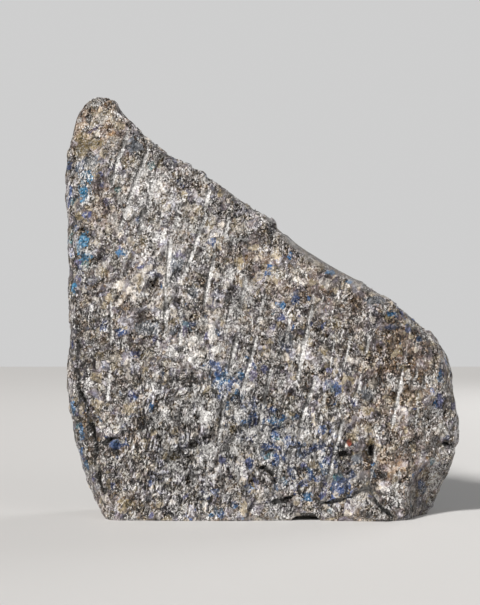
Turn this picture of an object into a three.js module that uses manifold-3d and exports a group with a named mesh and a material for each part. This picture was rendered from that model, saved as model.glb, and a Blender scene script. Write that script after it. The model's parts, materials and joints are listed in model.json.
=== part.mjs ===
// A labradorite freeform: one upright slab of labradorite rock on a sawn base.
// The near side (-Y) is broken stone, the far side (+Y) is a gently domed polished face,
// and the outline climbs from a round right shoulder along a long slope to a blunt peak.
// The stone is made by pushing the surface of a sphere out to a drawn outline, giving it
// a thickness, and sawing it off flat at the bottom.
// Lengths are millimetres. X runs along the slab, Y through it, Z up.
import * as THREE from "three";
import { mergeVertices } from "three/addons/utils/BufferGeometryUtils.js";
import { ImprovedNoise } from "three/addons/math/ImprovedNoise.js";
import Module from "manifold-3d";

const { lerp, smoothstep } = THREE.MathUtils;

const STONE_HEIGHT = 411; // from the sawn base to the tip
const SPHERE_DETAIL = 18; // 20 x (detail + 1)^2 triangles before the base is sawn
const CENTRE = new THREE.Vector2(-15, 150); // the outline is seen whole from here

// Half the thickness in front of and behind the slab's middle plane.
const FRONT_AT_BASE = 53;
const FRONT_AT_TIP = 15;
const BACK_AT_BASE = 48;
const BACK_AT_TIP = 13;
const BACK_DOME = 7; // how much the polished face swells at its middle
const DOME_REACH = 190; // distance from the centre at which that swell has died out

// The edge between a face and the rim is rounded off over this width.
const EDGE_WIDTH = 9;
const LEFT_SLANT = 19; // the left flank leans outwards to the rear by this much
const RIGHT_SLANT = 24; // and so does the right flank
const BACK_EDGE_WIDTH = 10;
const FACE_SHARE = 0.33; // of the sphere's area, given to each of the two faces
const ROUNDNESS = 0.7; // 1 is a round rim, smaller is squarer
const CREST_WANDER = 0.34; // how far the rim's crest strays through the thickness
const CREST_WAVELENGTH = 75;

// The right foot stands further back than the rest of the base: a step in the broken
// face, which starts and ends at these places along X and dies out at these heights.
const FOOT_STEP = { depth: 41, fromX: 131, toX: 154, fromZ: 12, toZ: 72 };

const SAW_DEPTH = 40; // thickness of what the saw takes off under the base

// The outline in the XZ plane, anticlockwise from the middle of the right flank.
// It runs a little below the base, where the saw then cuts it.
const OUTLINE = [
  [183, 128],
  [180, 147],
  [175, 160],
  [163, 175],
  [138, 194],
  [106, 216],
  [66, 241],
  [33, 260],
  [19, 273],
  [6, 286],
  [-29, 310],
  [-66, 333],
  [-100, 354],
  [-127, 379],
  [-146, 401],
  [-153, 408],
  [-163, STONE_HEIGHT],
  [-173, 408],
  [-181, 399],
  [-188, 381],
  [-192, 360],
  [-192, 311],
  [-191, 264],
  [-193, 217],
  [-191, 170],
  [-191, 120],
  [-189, 98],
  [-186, 76],
  [-179, 53],
  [-172, 29],
  [-162, 8],
  [-148, -8],
  [-110, -14],
  [0, -15],
  [110, -15],
  [148, -10],
  [163, 6],
  [170, 23],
  [180, 41],
  [186, 60],
  [188, 76],
  [187, 100],
];

// Broad swells (+) and hollows (-) of the broken face: middle, reach and height.
const BROKEN_FACE = [
  { x: -60, z: 120, reachX: 90, reachZ: 80, height: 5 },
  { x: -130, z: 330, reachX: 40, reachZ: 60, height: 4 },
  { x: 70, z: 150, reachX: 60, reachZ: 60, height: 3 },
  { x: -20, z: 235, reachX: 70, reachZ: 45, height: -4 },
  { x: 110, z: 60, reachX: 40, reachZ: 30, height: -6 },
  { x: 95, z: 8, reachX: 34, reachZ: 24, height: 6 },
  { x: 186, z: 80, reachX: 30, reachZ: 50, height: -18 },
  { x: -176, z: 25, reachX: 26, reachZ: 60, height: -16 },
];

// Uneven relief laid over the whole stone: wavelength and height.
const RELIEF = [
  { wavelength: 70, height: 3.2 },
  { wavelength: 28, height: 1.5 },
];
const POLISHED_RELIEF = 0.12; // the share of that relief left on the polished face

const outline = new THREE.CatmullRomCurve3(
  OUTLINE.map(([x, z]) => new THREE.Vector3(x, 0, z)),
  true,
  "centripetal",
);
outline.arcLengthDivisions = 3000;

// How far the stone reaches before or behind the middle plane at (x, z).
function frontDepth(x, z) {
  let depth = lerp(FRONT_AT_BASE, FRONT_AT_TIP, z / STONE_HEIGHT);
  const step = smoothstep(x, FOOT_STEP.fromX, FOOT_STEP.toX);
  depth -= FOOT_STEP.depth * step * (1 - smoothstep(z, FOOT_STEP.fromZ, FOOT_STEP.toZ));
  for (const swell of BROKEN_FACE) {
    const dx = (x - swell.x) / swell.reachX;
    const dz = (z - swell.z) / swell.reachZ;
    depth += swell.height * Math.exp(-dx * dx - dz * dz);
  }
  return depth;
}

function backDepth(x, z) {
  const depth = lerp(BACK_AT_BASE, BACK_AT_TIP, z / STONE_HEIGHT);
  const distance = Math.hypot(x - CENTRE.x, z - CENTRE.y) / DOME_REACH;
  return depth + BACK_DOME * (Math.exp(-distance * distance) - 0.5);
}

// The section from the middle of the broken face (share 0), over the rim, to the
// middle of the polished face (share 1). `reach` is the share of the way out to the
// outline, `depth` runs from -1 at the broken face to 1 at the polished one.
function section(share, frontEdge, backEdge) {
  if (share < FACE_SHARE)
    return { reach: frontEdge * Math.sqrt(share / FACE_SHARE), depth: -1 };
  if (share > 1 - FACE_SHARE)
    return { reach: backEdge * Math.sqrt((1 - share) / FACE_SHARE), depth: 1 };
  const turn = (Math.PI * (share - 0.5)) / (1 - 2 * FACE_SHARE);
  const edge = turn < 0 ? frontEdge : backEdge;
  return {
    reach: edge + (1 - edge) * Math.cos(turn) ** ROUNDNESS,
    depth: Math.sign(turn) * Math.abs(Math.sin(turn)) ** ROUNDNESS,
  };
}

const noise = new ImprovedNoise();

function relief(point) {
  let height = 0;
  for (const wave of RELIEF) {
    const at = point.clone().divideScalar(wave.wavelength);
    height += wave.height * noise.noise(at.x, at.y + 7.3, at.z);
  }
  const polished = smoothstep(point.y, BACK_AT_TIP, BACK_AT_BASE);
  return height * lerp(1, POLISHED_RELIEF, polished);
}

// Takes a point of the unit sphere to its place on the stone.
function placeOnStone(direction) {
  const turn = Math.atan2(direction.z, direction.x) / (2 * Math.PI);
  const rim = outline.getPointAt((turn + 1) % 1);
  const span = Math.hypot(rim.x - CENTRE.x, rim.z - CENTRE.y);
  const edgeWidth =
    EDGE_WIDTH +
    LEFT_SLANT * smoothstep(-rim.x, 150, 186) +
    RIGHT_SLANT * smoothstep(rim.x, 110, 182);
  const share = (1 + direction.y) / 2;
  const { reach, depth } = section(
    share,
    1 - edgeWidth / span,
    1 - BACK_EDGE_WIDTH / span,
  );
  const x = lerp(CENTRE.x, rim.x, reach);
  const z = lerp(CENTRE.y, rim.z, reach);
  const crest =
    CREST_WANDER *
    (1 - depth * depth) *
    noise.noise(rim.x / CREST_WAVELENGTH, 3.1, rim.z / CREST_WAVELENGTH);
  const through = depth + crest;
  const y = through * (through < 0 ? frontDepth(x, z) : backDepth(x, z));
  return new THREE.Vector3(x, y, z);
}

// A sphere of even triangles, each shared corner held once.
function evenSphere() {
  const sphere = new THREE.IcosahedronGeometry(1, SPHERE_DETAIL);
  sphere.deleteAttribute("normal");
  sphere.deleteAttribute("uv");
  return mergeVertices(sphere, 1e-5);
}

function unsawnStone() {
  const geometry = evenSphere();
  const position = geometry.attributes.position;
  const corner = new THREE.Vector3();
  for (let i = 0; i < position.count; i++) {
    corner.fromBufferAttribute(position, i).normalize();
    position.setXYZ(i, ...placeOnStone(corner));
  }
  geometry.computeVertexNormals();
  const normal = new THREE.Vector3();
  for (let i = 0; i < position.count; i++) {
    corner.fromBufferAttribute(position, i);
    normal.fromBufferAttribute(geometry.attributes.normal, i);
    corner.addScaledVector(normal, relief(corner));
    position.setXYZ(i, ...corner);
  }
  geometry.deleteAttribute("normal");
  return geometry;
}

const wasm = await Module();
wasm.setup();

function toSolid(geometry) {
  const mesh = new wasm.Mesh({
    numProp: 3,
    vertProperties: new Float32Array(geometry.attributes.position.array),
    triVerts: new Uint32Array(geometry.index.array),
  });
  return new wasm.Manifold(mesh);
}

function toGeometry(solid) {
  const mesh = solid.getMesh();
  const geometry = new THREE.BufferGeometry();
  geometry.setAttribute(
    "position",
    new THREE.BufferAttribute(new Float32Array(mesh.vertProperties), 3),
  );
  geometry.setIndex(new THREE.BufferAttribute(new Uint32Array(mesh.triVerts), 1));
  geometry.computeVertexNormals();
  return geometry;
}

// What the saw takes away: everything under the plane z = 0.
function sawWaste() {
  const box = new THREE.BoxGeometry(600, 300, SAW_DEPTH);
  box.translate(0, 0, -SAW_DEPTH / 2);
  box.deleteAttribute("normal");
  box.deleteAttribute("uv");
  return mergeVertices(box);
}

const sawn = toGeometry(toSolid(unsawnStone()).subtract(toSolid(sawWaste())));

// The origin sits on the base, under the middle of the stone.
sawn.computeBoundingBox();
const middle = sawn.boundingBox.getCenter(new THREE.Vector3());
sawn.translate(-middle.x, -middle.y, 0);

const stone = new THREE.Mesh(
  sawn,
  new THREE.MeshStandardMaterial({
    color: 0x76706c,
    roughness: 0.75,
    metalness: 0,
  }),
);
stone.name = "labradorite_stone";

const freeform = new THREE.Group();
freeform.add(stone);

export default freeform;
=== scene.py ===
# %% [markdown]
# # A labradorite freeform
#
# This notebook dresses one stone: a slab of labradorite rock that stands on a sawn base.
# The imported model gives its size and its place. Everything here is made on top of that
# frame, in metres, with +Z up and the broken side of the stone towards -Y.

# %% Load the frame
import json

import bmesh
import bpy
import numpy as np
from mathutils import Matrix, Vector
from mathutils.bvhtree import BVHTree
from mathutils.kdtree import KDTree
from mathutils.noise import noise as smooth_noise

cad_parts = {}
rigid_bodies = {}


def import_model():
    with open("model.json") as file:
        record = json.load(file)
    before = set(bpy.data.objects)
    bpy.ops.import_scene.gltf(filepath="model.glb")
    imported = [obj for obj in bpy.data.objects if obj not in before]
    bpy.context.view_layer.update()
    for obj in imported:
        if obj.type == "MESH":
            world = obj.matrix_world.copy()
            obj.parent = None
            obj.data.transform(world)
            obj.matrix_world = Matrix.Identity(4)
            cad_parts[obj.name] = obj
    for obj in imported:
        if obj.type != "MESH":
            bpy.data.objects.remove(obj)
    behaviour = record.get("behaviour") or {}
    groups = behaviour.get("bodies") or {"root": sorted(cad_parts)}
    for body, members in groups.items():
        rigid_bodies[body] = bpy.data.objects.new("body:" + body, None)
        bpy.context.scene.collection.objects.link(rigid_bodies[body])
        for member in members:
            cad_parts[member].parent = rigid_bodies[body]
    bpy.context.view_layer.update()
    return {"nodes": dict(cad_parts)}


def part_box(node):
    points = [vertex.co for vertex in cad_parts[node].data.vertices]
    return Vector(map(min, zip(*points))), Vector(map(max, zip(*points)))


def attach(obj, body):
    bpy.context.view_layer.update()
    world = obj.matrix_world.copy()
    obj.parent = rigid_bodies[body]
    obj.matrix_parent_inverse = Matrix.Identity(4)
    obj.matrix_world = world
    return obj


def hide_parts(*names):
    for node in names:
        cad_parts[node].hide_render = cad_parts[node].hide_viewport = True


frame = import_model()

MM = 0.001
SEED = 7.0
STONE_LOW, STONE_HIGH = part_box("labradorite_stone")
print("stone, mm:", [round(side / MM, 1) for side in STONE_HIGH - STONE_LOW])

# %% [markdown]
# ## Small helpers for node trees
#
# A node tree is easier to read when a line of code reads like a line of arithmetic.
# `put` adds a node and fills its inputs. `calc` and `vector` do the same for the two
# maths nodes and hand back the result's socket. They work in shaders and in geometry
# nodes alike.


# %% Node helpers
def put(tree, kind, inputs=(), **settings):
    """Adds a node. inputs holds sockets or plain values, by position or by name."""
    node = tree.nodes.new(kind)
    for name, value in settings.items():
        setattr(node, name, value)
    pairs = inputs.items() if isinstance(inputs, dict) else enumerate(inputs)
    for key, value in pairs:
        if isinstance(value, bpy.types.NodeSocket):
            tree.links.new(value, node.inputs[key])
        else:
            node.inputs[key].default_value = value
    return node


def calc(tree, operation, *values):
    return put(tree, "ShaderNodeMath", values, operation=operation).outputs[0]


def vector(tree, operation, *values):
    node = put(tree, "ShaderNodeVectorMath", values, operation=operation)
    return node.outputs["Value" if operation == "DOT_PRODUCT" else "Vector"]


def scaled(tree, value, factor):
    inputs = {0: value, "Scale": factor}
    return put(tree, "ShaderNodeVectorMath", inputs, operation="SCALE").outputs[0]


def ramp(tree, value, low, high, to_low=0.0, to_high=1.0):
    """A smooth step from to_low to to_high as value goes from low to high."""
    inputs = {
        "Value": value,
        "From Min": low,
        "From Max": high,
        "To Min": to_low,
        "To Max": to_high,
    }
    return put(tree, "ShaderNodeMapRange", inputs, interpolation_type="SMOOTHSTEP").outputs[0]


def blend(tree, factor, a, b, mode="MIX"):
    """Mixes two colours, which are inputs 6 and 7 of a Mix node and its output 2."""
    inputs = {0: factor, 6: a, 7: b}
    return put(tree, "ShaderNodeMix", inputs, data_type="RGBA", blend_type=mode).outputs[2]


def new_group(kind, name, inputs, outputs):
    """An empty group and its input and output nodes. inputs: name, type and default."""
    tree = bpy.data.node_groups.new(name, kind)
    for title, socket_type, default in inputs:
        socket = tree.interface.new_socket(title, in_out="INPUT", socket_type=socket_type)
        if default is not None:
            socket.default_value = default
    for title, socket_type in outputs:
        tree.interface.new_socket(title, in_out="OUTPUT", socket_type=socket_type)
    given = tree.nodes.new("NodeGroupInput").outputs
    return tree, given, tree.nodes.new("NodeGroupOutput")


# %% [markdown]
# ## The body of the stone
#
# The frame's solid is faceted, with edges about 9 mm long. The broken surface needs
# points about 1.5 mm apart, so the solid is first rounded by a subdivision surface and
# then remeshed into even squares. A remesh is chosen over more subdivision because the
# saw cut left slivers round the base, and slivers would tear once the relief is laid on.
# The polished side is smooth and needs no more than 3 mm squares. Only the broken side is
# cut in four, which keeps the stone light.

# %% Smooth, remesh and refine the solid
VOXEL = 3.1 * MM
SHARP = 0.6  # radians: faces that meet at more than this form an edge
FACES_FAR = 0.3  # squares whose normal's Y is below this are cut in four,
FACES_DOWN = -0.7  # unless its Z is below this, as it is under the base


def new_object(name, data):
    """An object in the scene that holds this mesh, lamp or camera."""
    holder = bpy.data.objects.new(name, data)
    bpy.context.collection.objects.link(holder)
    return holder


def evaluated_mesh(piece):
    """The piece with its modifiers applied, as a plain mesh of its own."""
    graph = bpy.context.evaluated_depsgraph_get()
    return bpy.data.meshes.new_from_object(piece.evaluated_get(graph))


def crease_base(work):
    """Marks the edge round the saw cut, so that rounding keeps it sharp."""
    crease = work.edges.layers.float.new("crease_edge")
    for edge in work.edges:
        on_base = all(v.co.z < 0.01 * MM for v in edge.verts)
        if on_base and edge.calc_face_angle(0.0) > SHARP:
            edge[crease] = 1.0


def refine_broken_side(mesh):
    """Cuts each square of the broken side in four."""
    work = bmesh.new()
    work.from_mesh(mesh)
    work.normal_update()
    rough = [f for f in work.faces if f.normal.y < FACES_FAR and f.normal.z > FACES_DOWN]
    edges = list({edge for face in rough for edge in face.edges})
    edges.sort(key=lambda edge: edge.index)
    bmesh.ops.subdivide_edges(work, edges=edges, cuts=1, use_grid_fill=True)
    work.to_mesh(mesh)
    work.free()


def smooth_body():
    mesh = frame["nodes"]["labradorite_stone"].data.copy()
    work = bmesh.new()
    work.from_mesh(mesh)
    bmesh.ops.remove_doubles(work, verts=work.verts, dist=1e-6)
    crease_base(work)
    work.to_mesh(mesh)
    work.free()
    body = new_object("body", mesh)
    rounding = body.modifiers.new("rounding", "SUBSURF")
    rounding.levels = rounding.render_levels = 2
    remesh = body.modifiers.new("even squares", "REMESH")
    remesh.mode = "VOXEL"
    remesh.voxel_size = VOXEL
    body.data = evaluated_mesh(body)
    body.modifiers.clear()
    refine_broken_side(body.data)
    return body


body = smooth_body()
print("body:", len(body.data.vertices), "points,", len(body.data.polygons), "faces")


# %% [markdown]
# ## Where things are on the stone
#
# The later steps ask the same questions of each point: where it is, in millimetres, and
# which way the smooth stone faces there. Both are read once into arrays. Most features
# are soft spots: `spot` makes one, and `add_up` adds a list of them.

# %% Measure the smooth stone
NEAR_BASE = 1.4 * MM


def read(mesh, name):
    """Three numbers for each point: its place, or which way it faces."""
    values = np.zeros(len(mesh.vertices) * 3, np.float32)
    mesh.vertices.foreach_get(name, values)
    return values.reshape(-1, 3).astype(float)


def flatten_base(mesh):
    """Brings the points that the remesh left just off the saw cut back onto it."""
    places = read(mesh, "co")
    places[places[:, 2] < NEAR_BASE, 2] = 0.0
    mesh.vertices.foreach_set("co", places.astype(np.float32).ravel())
    mesh.update()


flatten_base(body.data)
PLACE = read(body.data, "co") / MM
FACING = read(body.data, "normal")
X, Y, Z = PLACE.T
print("smooth stone, mm:", PLACE.min(0).round(1), PLACE.max(0).round(1))


def step(values, low, high):
    """0 below low, 1 above high, and smooth between."""
    t = np.clip((values - low) / (high - low), 0, 1)
    return t * t * (3 - 2 * t)


def spot(x, z, reach_x, reach_z, lean=0.0):
    """1 at (x, z), falling evenly to 0 at an ellipse round it. lean turns it, in radians."""
    dx, dz = X - x, Z - z
    along = dx * np.cos(lean) + dz * np.sin(lean)
    across = -dx * np.sin(lean) + dz * np.cos(lean)
    return np.clip(1 - np.hypot(along / reach_x, across / reach_z), 0, 1)


def add_up(spots):
    """The sum of soft spots: x, z, reach along x and z, lean in degrees, amount."""
    total = np.zeros(len(X))
    for x, z, reach_x, reach_z, lean, amount in spots:
        total += amount * step(spot(x, z, reach_x, reach_z, np.radians(lean)), 0, 1)
    return total


def wander(size):
    """Smooth noise from about -1 to 1, whose swells are this many millimetres wide."""
    return np.array([2 * smooth_noise(Vector(point) / size) for point in PLACE])


# %% [markdown]
# ## Broken, ground and polished
#
# The slab was sawn from a boulder. The far face is domed and polished, the long slope is
# ground, and the near face, the left flank and the right shoulder are as they broke.
# Each of these is a mask from 0 to 1, kept as an attribute, so that the relief and the
# finish can both read it. Noise is added to what a mask is worked out from, so its border
# wanders, as it does where rock chips. Chips have also eaten into the near edge of the
# ground slope towards both its ends. `HACKLE` says where the blows left rows of upright
# splinters: on the left flank and low on the near face.

# %% Masks of the finishes
SLOPE_END = 126  # the ground slope ends at about this X,
SLOPE_TOP = 366  # and at about this height
SLOPE_MIDDLE = 58  # X at which its near edge is whole

NEAR = 1 - step(FACING[:, 1], -0.2, 0.35)
FLANK = step(-FACING[:, 0], 0.3, 0.62) * (1 - step(Z, 300, 380))
SAWN = step(-FACING[:, 2], 0.75, 0.95) * (1 - step(Z, 1, 4))
WANDER = wander(16)
POLISHED = step(FACING[:, 1] + 0.22 * wander(7), 0.4, 0.62) * step(Z, 1, 8)
GROUND = step(FACING[:, 2] + 0.12 * WANDER, 0.22, 0.45)
GROUND *= step(SLOPE_END + 26 * WANDER - X, 0, 10)
GROUND *= 1 - step(Z + 24 * WANDER, SLOPE_TOP, SLOPE_TOP + 8)
EATEN = step(np.abs(X - SLOPE_MIDDLE), 30, 55)
GROUND *= 1 - EATEN * (1 - step(Y + 20 * WANDER, -10, -4))
BROKEN = (1 - POLISHED) * (1 - SAWN) * (1 - 0.93 * GROUND)
HACKLE = np.maximum(0.7 * FLANK, step(spot(-75, 70, 85, 95, 0.2), 0, 0.5) * NEAR)
HACKLE = np.maximum(HACKLE, 0.8 * step(spot(10, 75, 95, 75), 0, 0.5) * NEAR)


def keep(mesh, name, values):
    """Stores one number for each point of the mesh."""
    attribute = mesh.attributes.new(name, "FLOAT", "POINT")
    attribute.data.foreach_set("value", np.asarray(values, np.float32))


for name, values in {
    "broken": BROKEN * step(Z, 0.5, 7),
    "polished": POLISHED,
    "ground": GROUND,
    "sawn": SAWN,
    "hackle": HACKLE,
}.items():
    keep(body.data, name, values)
    print(f"{name}: {values.mean():.2f} of the points")

# %% [markdown]
# ## Ragged and clean
#
# The blows left the lower middle of the near face ragged, with black gaps between white
# splinters. Along the slope the rock parted more cleanly. One more mask says which is
# which, and everything that is rough about the stone is multiplied by it: the chips, the
# finest relief, and the contrast between light and dark grains.

# %% How lively the rock is
# x, z, reach along x and z, lean in degrees, and the amount that is added to 1
LIVELY_SPOTS = [
    (-30, 80, 120, 80, 0, 0.60),
    (-90, 80, 50, 70, 0, 0.15),
    (20, 60, 70, 60, 0, 0.12),
    (-25, 165, 50, 40, 0, 0.12),
    (-163, 400, 30, 20, 0, 0.20),
    (-173, 127, 12, 24, 0, 0.35),
    (-90, 205, 30, 40, 0, 0.18),
    (-16, 213, 26, 18, 0, 0.22),
    (-115, 300, 40, 60, 0, 0.12),
    (45, 232, 60, 30, -33, -0.38),
    (92, 178, 34, 40, 0, -0.32),
    (130, 160, 50, 40, -40, -0.25),
    (-2, 248, 34, 24, -30, -0.22),
    (-109, 142, 18, 12, 0, -0.35),
    (89, 70, 14, 34, 0, -0.30),
    (165, 40, 34, 50, 0, -0.25),
    (-75, 256, 24, 30, 0, -0.25),
    (-169, 356, 16, 16, 0, -0.30),
    (-135, 222, 16, 14, 0, -0.25),
    (-141, 80, 16, 14, 0, -0.30),
    (-158, 12, 24, 24, 0, -0.30),
]

LIVELY = 1 + add_up(LIVELY_SPOTS) * NEAR
keep(body.data, "lively", LIVELY)
print("lively from", LIVELY.min().round(2), "to", LIVELY.max().round(2))

# %% [markdown]
# ## Plates, pits and ledges
#
# A few features are larger than a facet: the plate that stands proud under the curved
# ledge, the loose wedge of rock at the foot, and the pits to the right of it. They are
# single things in single places, so they are pushed in or out one at a time, before the
# relief is laid over them. The saw left a ragged edge round the base as well: its points
# are lifted a little, most of all in one gap under the near face.

# %% Push the single features in and out
# x, z, reach along x and z, lean in degrees, height (minus is a pit), edge: 1 is soft
FEATURES = [
    (-106, 222, 30, 24, 40, 3.2, 0.18),
    (112, 13, 22, 15, 0, 4.0, 0.3),
    (78, 34, 34, 16, 15, -3.0, 0.6),
    (-8, 44, 26, 18, -35, 2.0, 0.3),
    (103, 64, 10, 9, 0, -4.0, 0.7),
    (79, 58, 16, 7, 10, -3.5, 0.7),
    (176, 66, 16, 9, 5, -5.0, 0.8),
    (-163, 350, 16, 12, 0, -1.8, 0.2),
    (-148, 312, 9, 26, -14, 1.5, 0.25),
    (-165, 372, 9, 12, 20, -2.2, 0.7),
    (20, 279, 10, 7, -40, -2.0, 0.6),
    (-86, 74, 8, 16, -10, 3.0, 0.3),
    (-80, 62, 14, 6, 25, -3.0, 0.5),
    (-150, 75, 13, 6, -20, -2.4, 0.6),
    (-93, 34, 40, 12, 10, -2.2, 0.5),
    (70, 122, 12, 10, 0, -2.0, 0.6),
    (24, 170, 12, 10, 0, -1.6, 0.5),
    (172, 72, 12, 7, 0, -3.5, 0.6),
]
BASE_GAP = (42, 14, 5)  # middle and half width along x, height
GAP_DEPTH = (28, 35)  # it closes between these distances in front of the stone's middle
RAGGED = 1.4  # how high the ragged edge of the base is lifted elsewhere


def base_lift():
    """How far the edge round the saw cut is lifted at each point."""
    middle, half_width, height = BASE_GAP
    inwards = 1 - np.abs(X - middle + 5 * WANDER) / half_width
    gap = height * step(inwards, 0, 0.4) * step(-Y, *GAP_DEPTH)
    edge = step(FACING[:, 2], -0.98, -0.8)
    ragged = RAGGED * np.clip(0.3 + wander(9), 0, 1) * edge
    return np.maximum(gap, ragged) * (1 - step(Z, 2, 12))


BASE_LIFT = base_lift()


def push_features(mesh):
    push = np.zeros(len(X))
    for x, z, reach_x, reach_z, lean, height, edge in FEATURES:
        inside = spot(x, z, reach_x, reach_z, np.radians(lean))
        push += height * step(inside, 0, edge)
    places = PLACE + FACING * (push * NEAR * step(Z, 0.0, 4.0))[:, None]
    places[:, 2] += BASE_LIFT
    mesh.vertices.foreach_set("co", (places * MM).astype(np.float32).ravel())
    mesh.update()
    return push


pushed = push_features(body.data)
print("features from", pushed.min().round(1), "to", pushed.max().round(1), "mm")

# %% [markdown]
# ## Tool marks and cracks
#
# A point chisel dressed the near face. Its strokes run down and to the left, 20 to 30 mm
# apart, each a groove a few millimetres wide. Cracks run under the loose plates of rock.
# Both follow lines on the face, so each line is a short list of points in the XZ plane,
# in millimetres.

# %% The lines on the near face
TOOL_MARKS = [
    [(-131, 368), (-135, 355), (-141, 337), (-145, 320)],
    [(-111, 353), (-117, 337), (-123, 321), (-128, 306), (-133, 290), (-137, 278)],
    [(-116, 291), (-118, 275)],
    [(-89, 262), (-91, 244), (-91, 223)],
    [(-55, 290), (-65, 262), (-71, 244), (-77, 231)],
    [(-52, 313), (-56, 297)],
    [(-33, 290), (-36, 271)],
    [(-17, 227), (-21, 202)],
    [(-6, 172), (-14, 144), (-19, 125)],
    [(7, 140), (1, 114), (-4, 86)],
    [(47, 202), (42, 180), (37, 156), (33, 135)],
    [(133, 139), (127, 112), (123, 91)],
    [(76, 93), (68, 63), (62, 39)],
    [(-93, 219), (-93, 181)],
    [(-26, 170), (-31, 142)],
    [(-47, 251), (-56, 206)],
    [(49, 131), (40, 105), (35, 89)],
    [(-37, 114), (-42, 76)],
]
FAINT_MARKS = [
    [(-78, 208), (-79, 169)],
    [(67, 165), (64, 144)],
    [(58, 118), (54, 95)],
    [(29, 69), (26, 56)],
    [(-145, 204), (-144, 172)],
    [(-146, 140), (-148, 114)],
    [(102, 180), (98, 159)],
    [(-106, 323), (-112, 291)],
    [(83, 170), (77, 147)],
    [(-29, 210), (-35, 181)],
    [(-100, 180), (-101, 159)],
    [(18, 62), (12, 36)],
    [(-53, 48), (-56, 15)],
    [(148, 151), (144, 128)],
    [(-80, 305), (-84, 278)],
    [(0, 209), (-6, 185)],
    [(26, 194), (22, 170)],
    [(118, 208), (114, 191)],
    [(93, 140), (88, 114)],
    [(148, 119), (145, 90)],
    [(106, 62), (102, 39)],
    [(129, 44), (125, 18)],
]
CRACKS = [
    [(55, 17), (74, 19), (86, 26), (94, 30), (100, 31)],
    [(100, 31), (108, 17), (115, 10), (122, 3)],
    [(-3, 50), (3, 50), (8, 44), (13, 37)],
    [(10, 18), (20, 20), (28, 23)],
    [(76, 61), (81, 60)],
    [(103, 68), (104, 62)],
    [(176, 70), (184, 69)],
    [(-151, 72), (-144, 76), (-137, 77)],
    [(-177, 142), (-176, 128), (-170, 115), (-166, 104)],
    [(-162, 90), (-159, 75), (-158, 63)],
    [(-156, 50), (-154, 41), (-149, 26)],
]
print("lines:", len(TOOL_MARKS), "clear,", len(FAINT_MARKS), "faint,", len(CRACKS), "cracks")

# %% [markdown]
# ## Lines on the stone
#
# Each line is dropped onto the near face along Y, as a mesh of short edges. The relief can
# then ask how far each point of the stone is from the nearest one. Three meshes keep the
# clear marks, the faint marks and the cracks apart, because each kind is cut differently.

# %% Drop the lines onto the face
POINT_SPACING = 2.5 * MM


def along(points, spacing):
    """Points evenly spaced along a bent line."""
    corners = np.array(points, float)
    lengths = np.r_[0, np.cumsum(np.hypot(*np.diff(corners, axis=0).T))]
    count = max(2, int(lengths[-1] / spacing) + 1)
    at = np.linspace(0, lengths[-1], count)
    return np.column_stack([np.interp(at, lengths, axis) for axis in corners.T])


def lines_on_face(name, lines):
    """A mesh of edges that lie on the near face."""
    surface = BVHTree.FromObject(body, bpy.context.evaluated_depsgraph_get())
    points, edges = [], []
    for line in lines:
        first = len(points)
        for x, z in along(line, POINT_SPACING / MM):
            hit = surface.ray_cast(Vector((x * MM, -1, z * MM)), Vector((0, 1, 0)))[0]
            if hit is not None:
                points.append(hit)
        edges += [(i, i + 1) for i in range(first, len(points) - 1)]
    mesh = bpy.data.meshes.new(name)
    mesh.from_pydata(points, edges, [])
    print(name, "-", len(points), "points")
    return new_object(name, mesh)


tool_marks = lines_on_face("tool marks", TOOL_MARKS)
faint_marks = lines_on_face("faint marks", FAINT_MARKS)
cracks = lines_on_face("cracks", CRACKS)

# %% [markdown]
# ## Chips
#
# Feldspar breaks along flat cleavage planes, so a broken face is a crowd of flat, angular
# chips of all sizes. Noise would look like soft clay, and Voronoi cells like popcorn,
# because neither takes anything away. Here the rock is broken as it really was: blow by
# blow, the large chips first. A chip is a tilted flat floor with four to six straight
# sides and steep walls, and it only ever lowers the surface. What stands between chips
# keeps its sharp ridges. Where the rock is lively the chips end up deeper, and along the
# rim they are worn.

# %% Break the face chip by chip
RANDOM = np.random.default_rng(seed=41)
# how many, radius in mm, depth as a share of the radius, tilt of the floor
CHIP_SIZES = [
    (40, 30, 0.030, 0.05),
    (180, 17, 0.045, 0.09),
    (650, 9.5, 0.060, 0.15),
    (2000, 5.6, 0.085, 0.22),
]
WALL = 1.3  # how steeply a chip's sides climb
STRETCH = 1.5  # chips are longer along the tool's strokes
DEEPEST = 2.6  # no chip starts further than this below the mean
RIM_WEAR = 0.45  # the share of the chips' height that is worn off along the rim
EVEN_SHARE = 0.3  # the share of their height that is the same in all of the rock
CORNER = 1.5  # a chip's corners lie at most this many radii from its middle
TOOL_DIRECTION = np.array((0.2, 0.0, 0.98))
ACROSS_TOOL = np.array((0.98, 0.0, -0.2))


def chip_sides(count):
    """The outward directions of an uneven polygon's sides, and how far out each lies."""
    turns = (np.arange(count) + RANDOM.uniform(-0.3, 0.3, count)) * 2 * np.pi / count
    return np.array([np.cos(turns), np.sin(turns)]), RANDOM.uniform(0.65, 1.0, count)


def take_chip(heights, points, centre, radius, depth, tilt):
    """Lowers the heights of these points to one chip's floor and walls."""
    normal = FACING[centre]
    up = TOOL_DIRECTION - normal * (TOOL_DIRECTION @ normal)
    up /= np.linalg.norm(up)
    offset = PLACE[points] - PLACE[centre]
    flat = np.column_stack([offset @ np.cross(normal, up), offset @ up / STRETCH])
    sides, distances = chip_sides(RANDOM.integers(4, 7))
    outward = (flat @ sides / distances).max(axis=1) - radius
    lean = RANDOM.normal(0, tilt, 2)
    floor = heights[centre] - depth * radius + flat @ lean
    heights[points] = np.minimum(heights[points], floor + WALL * np.maximum(outward, 0))


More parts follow.
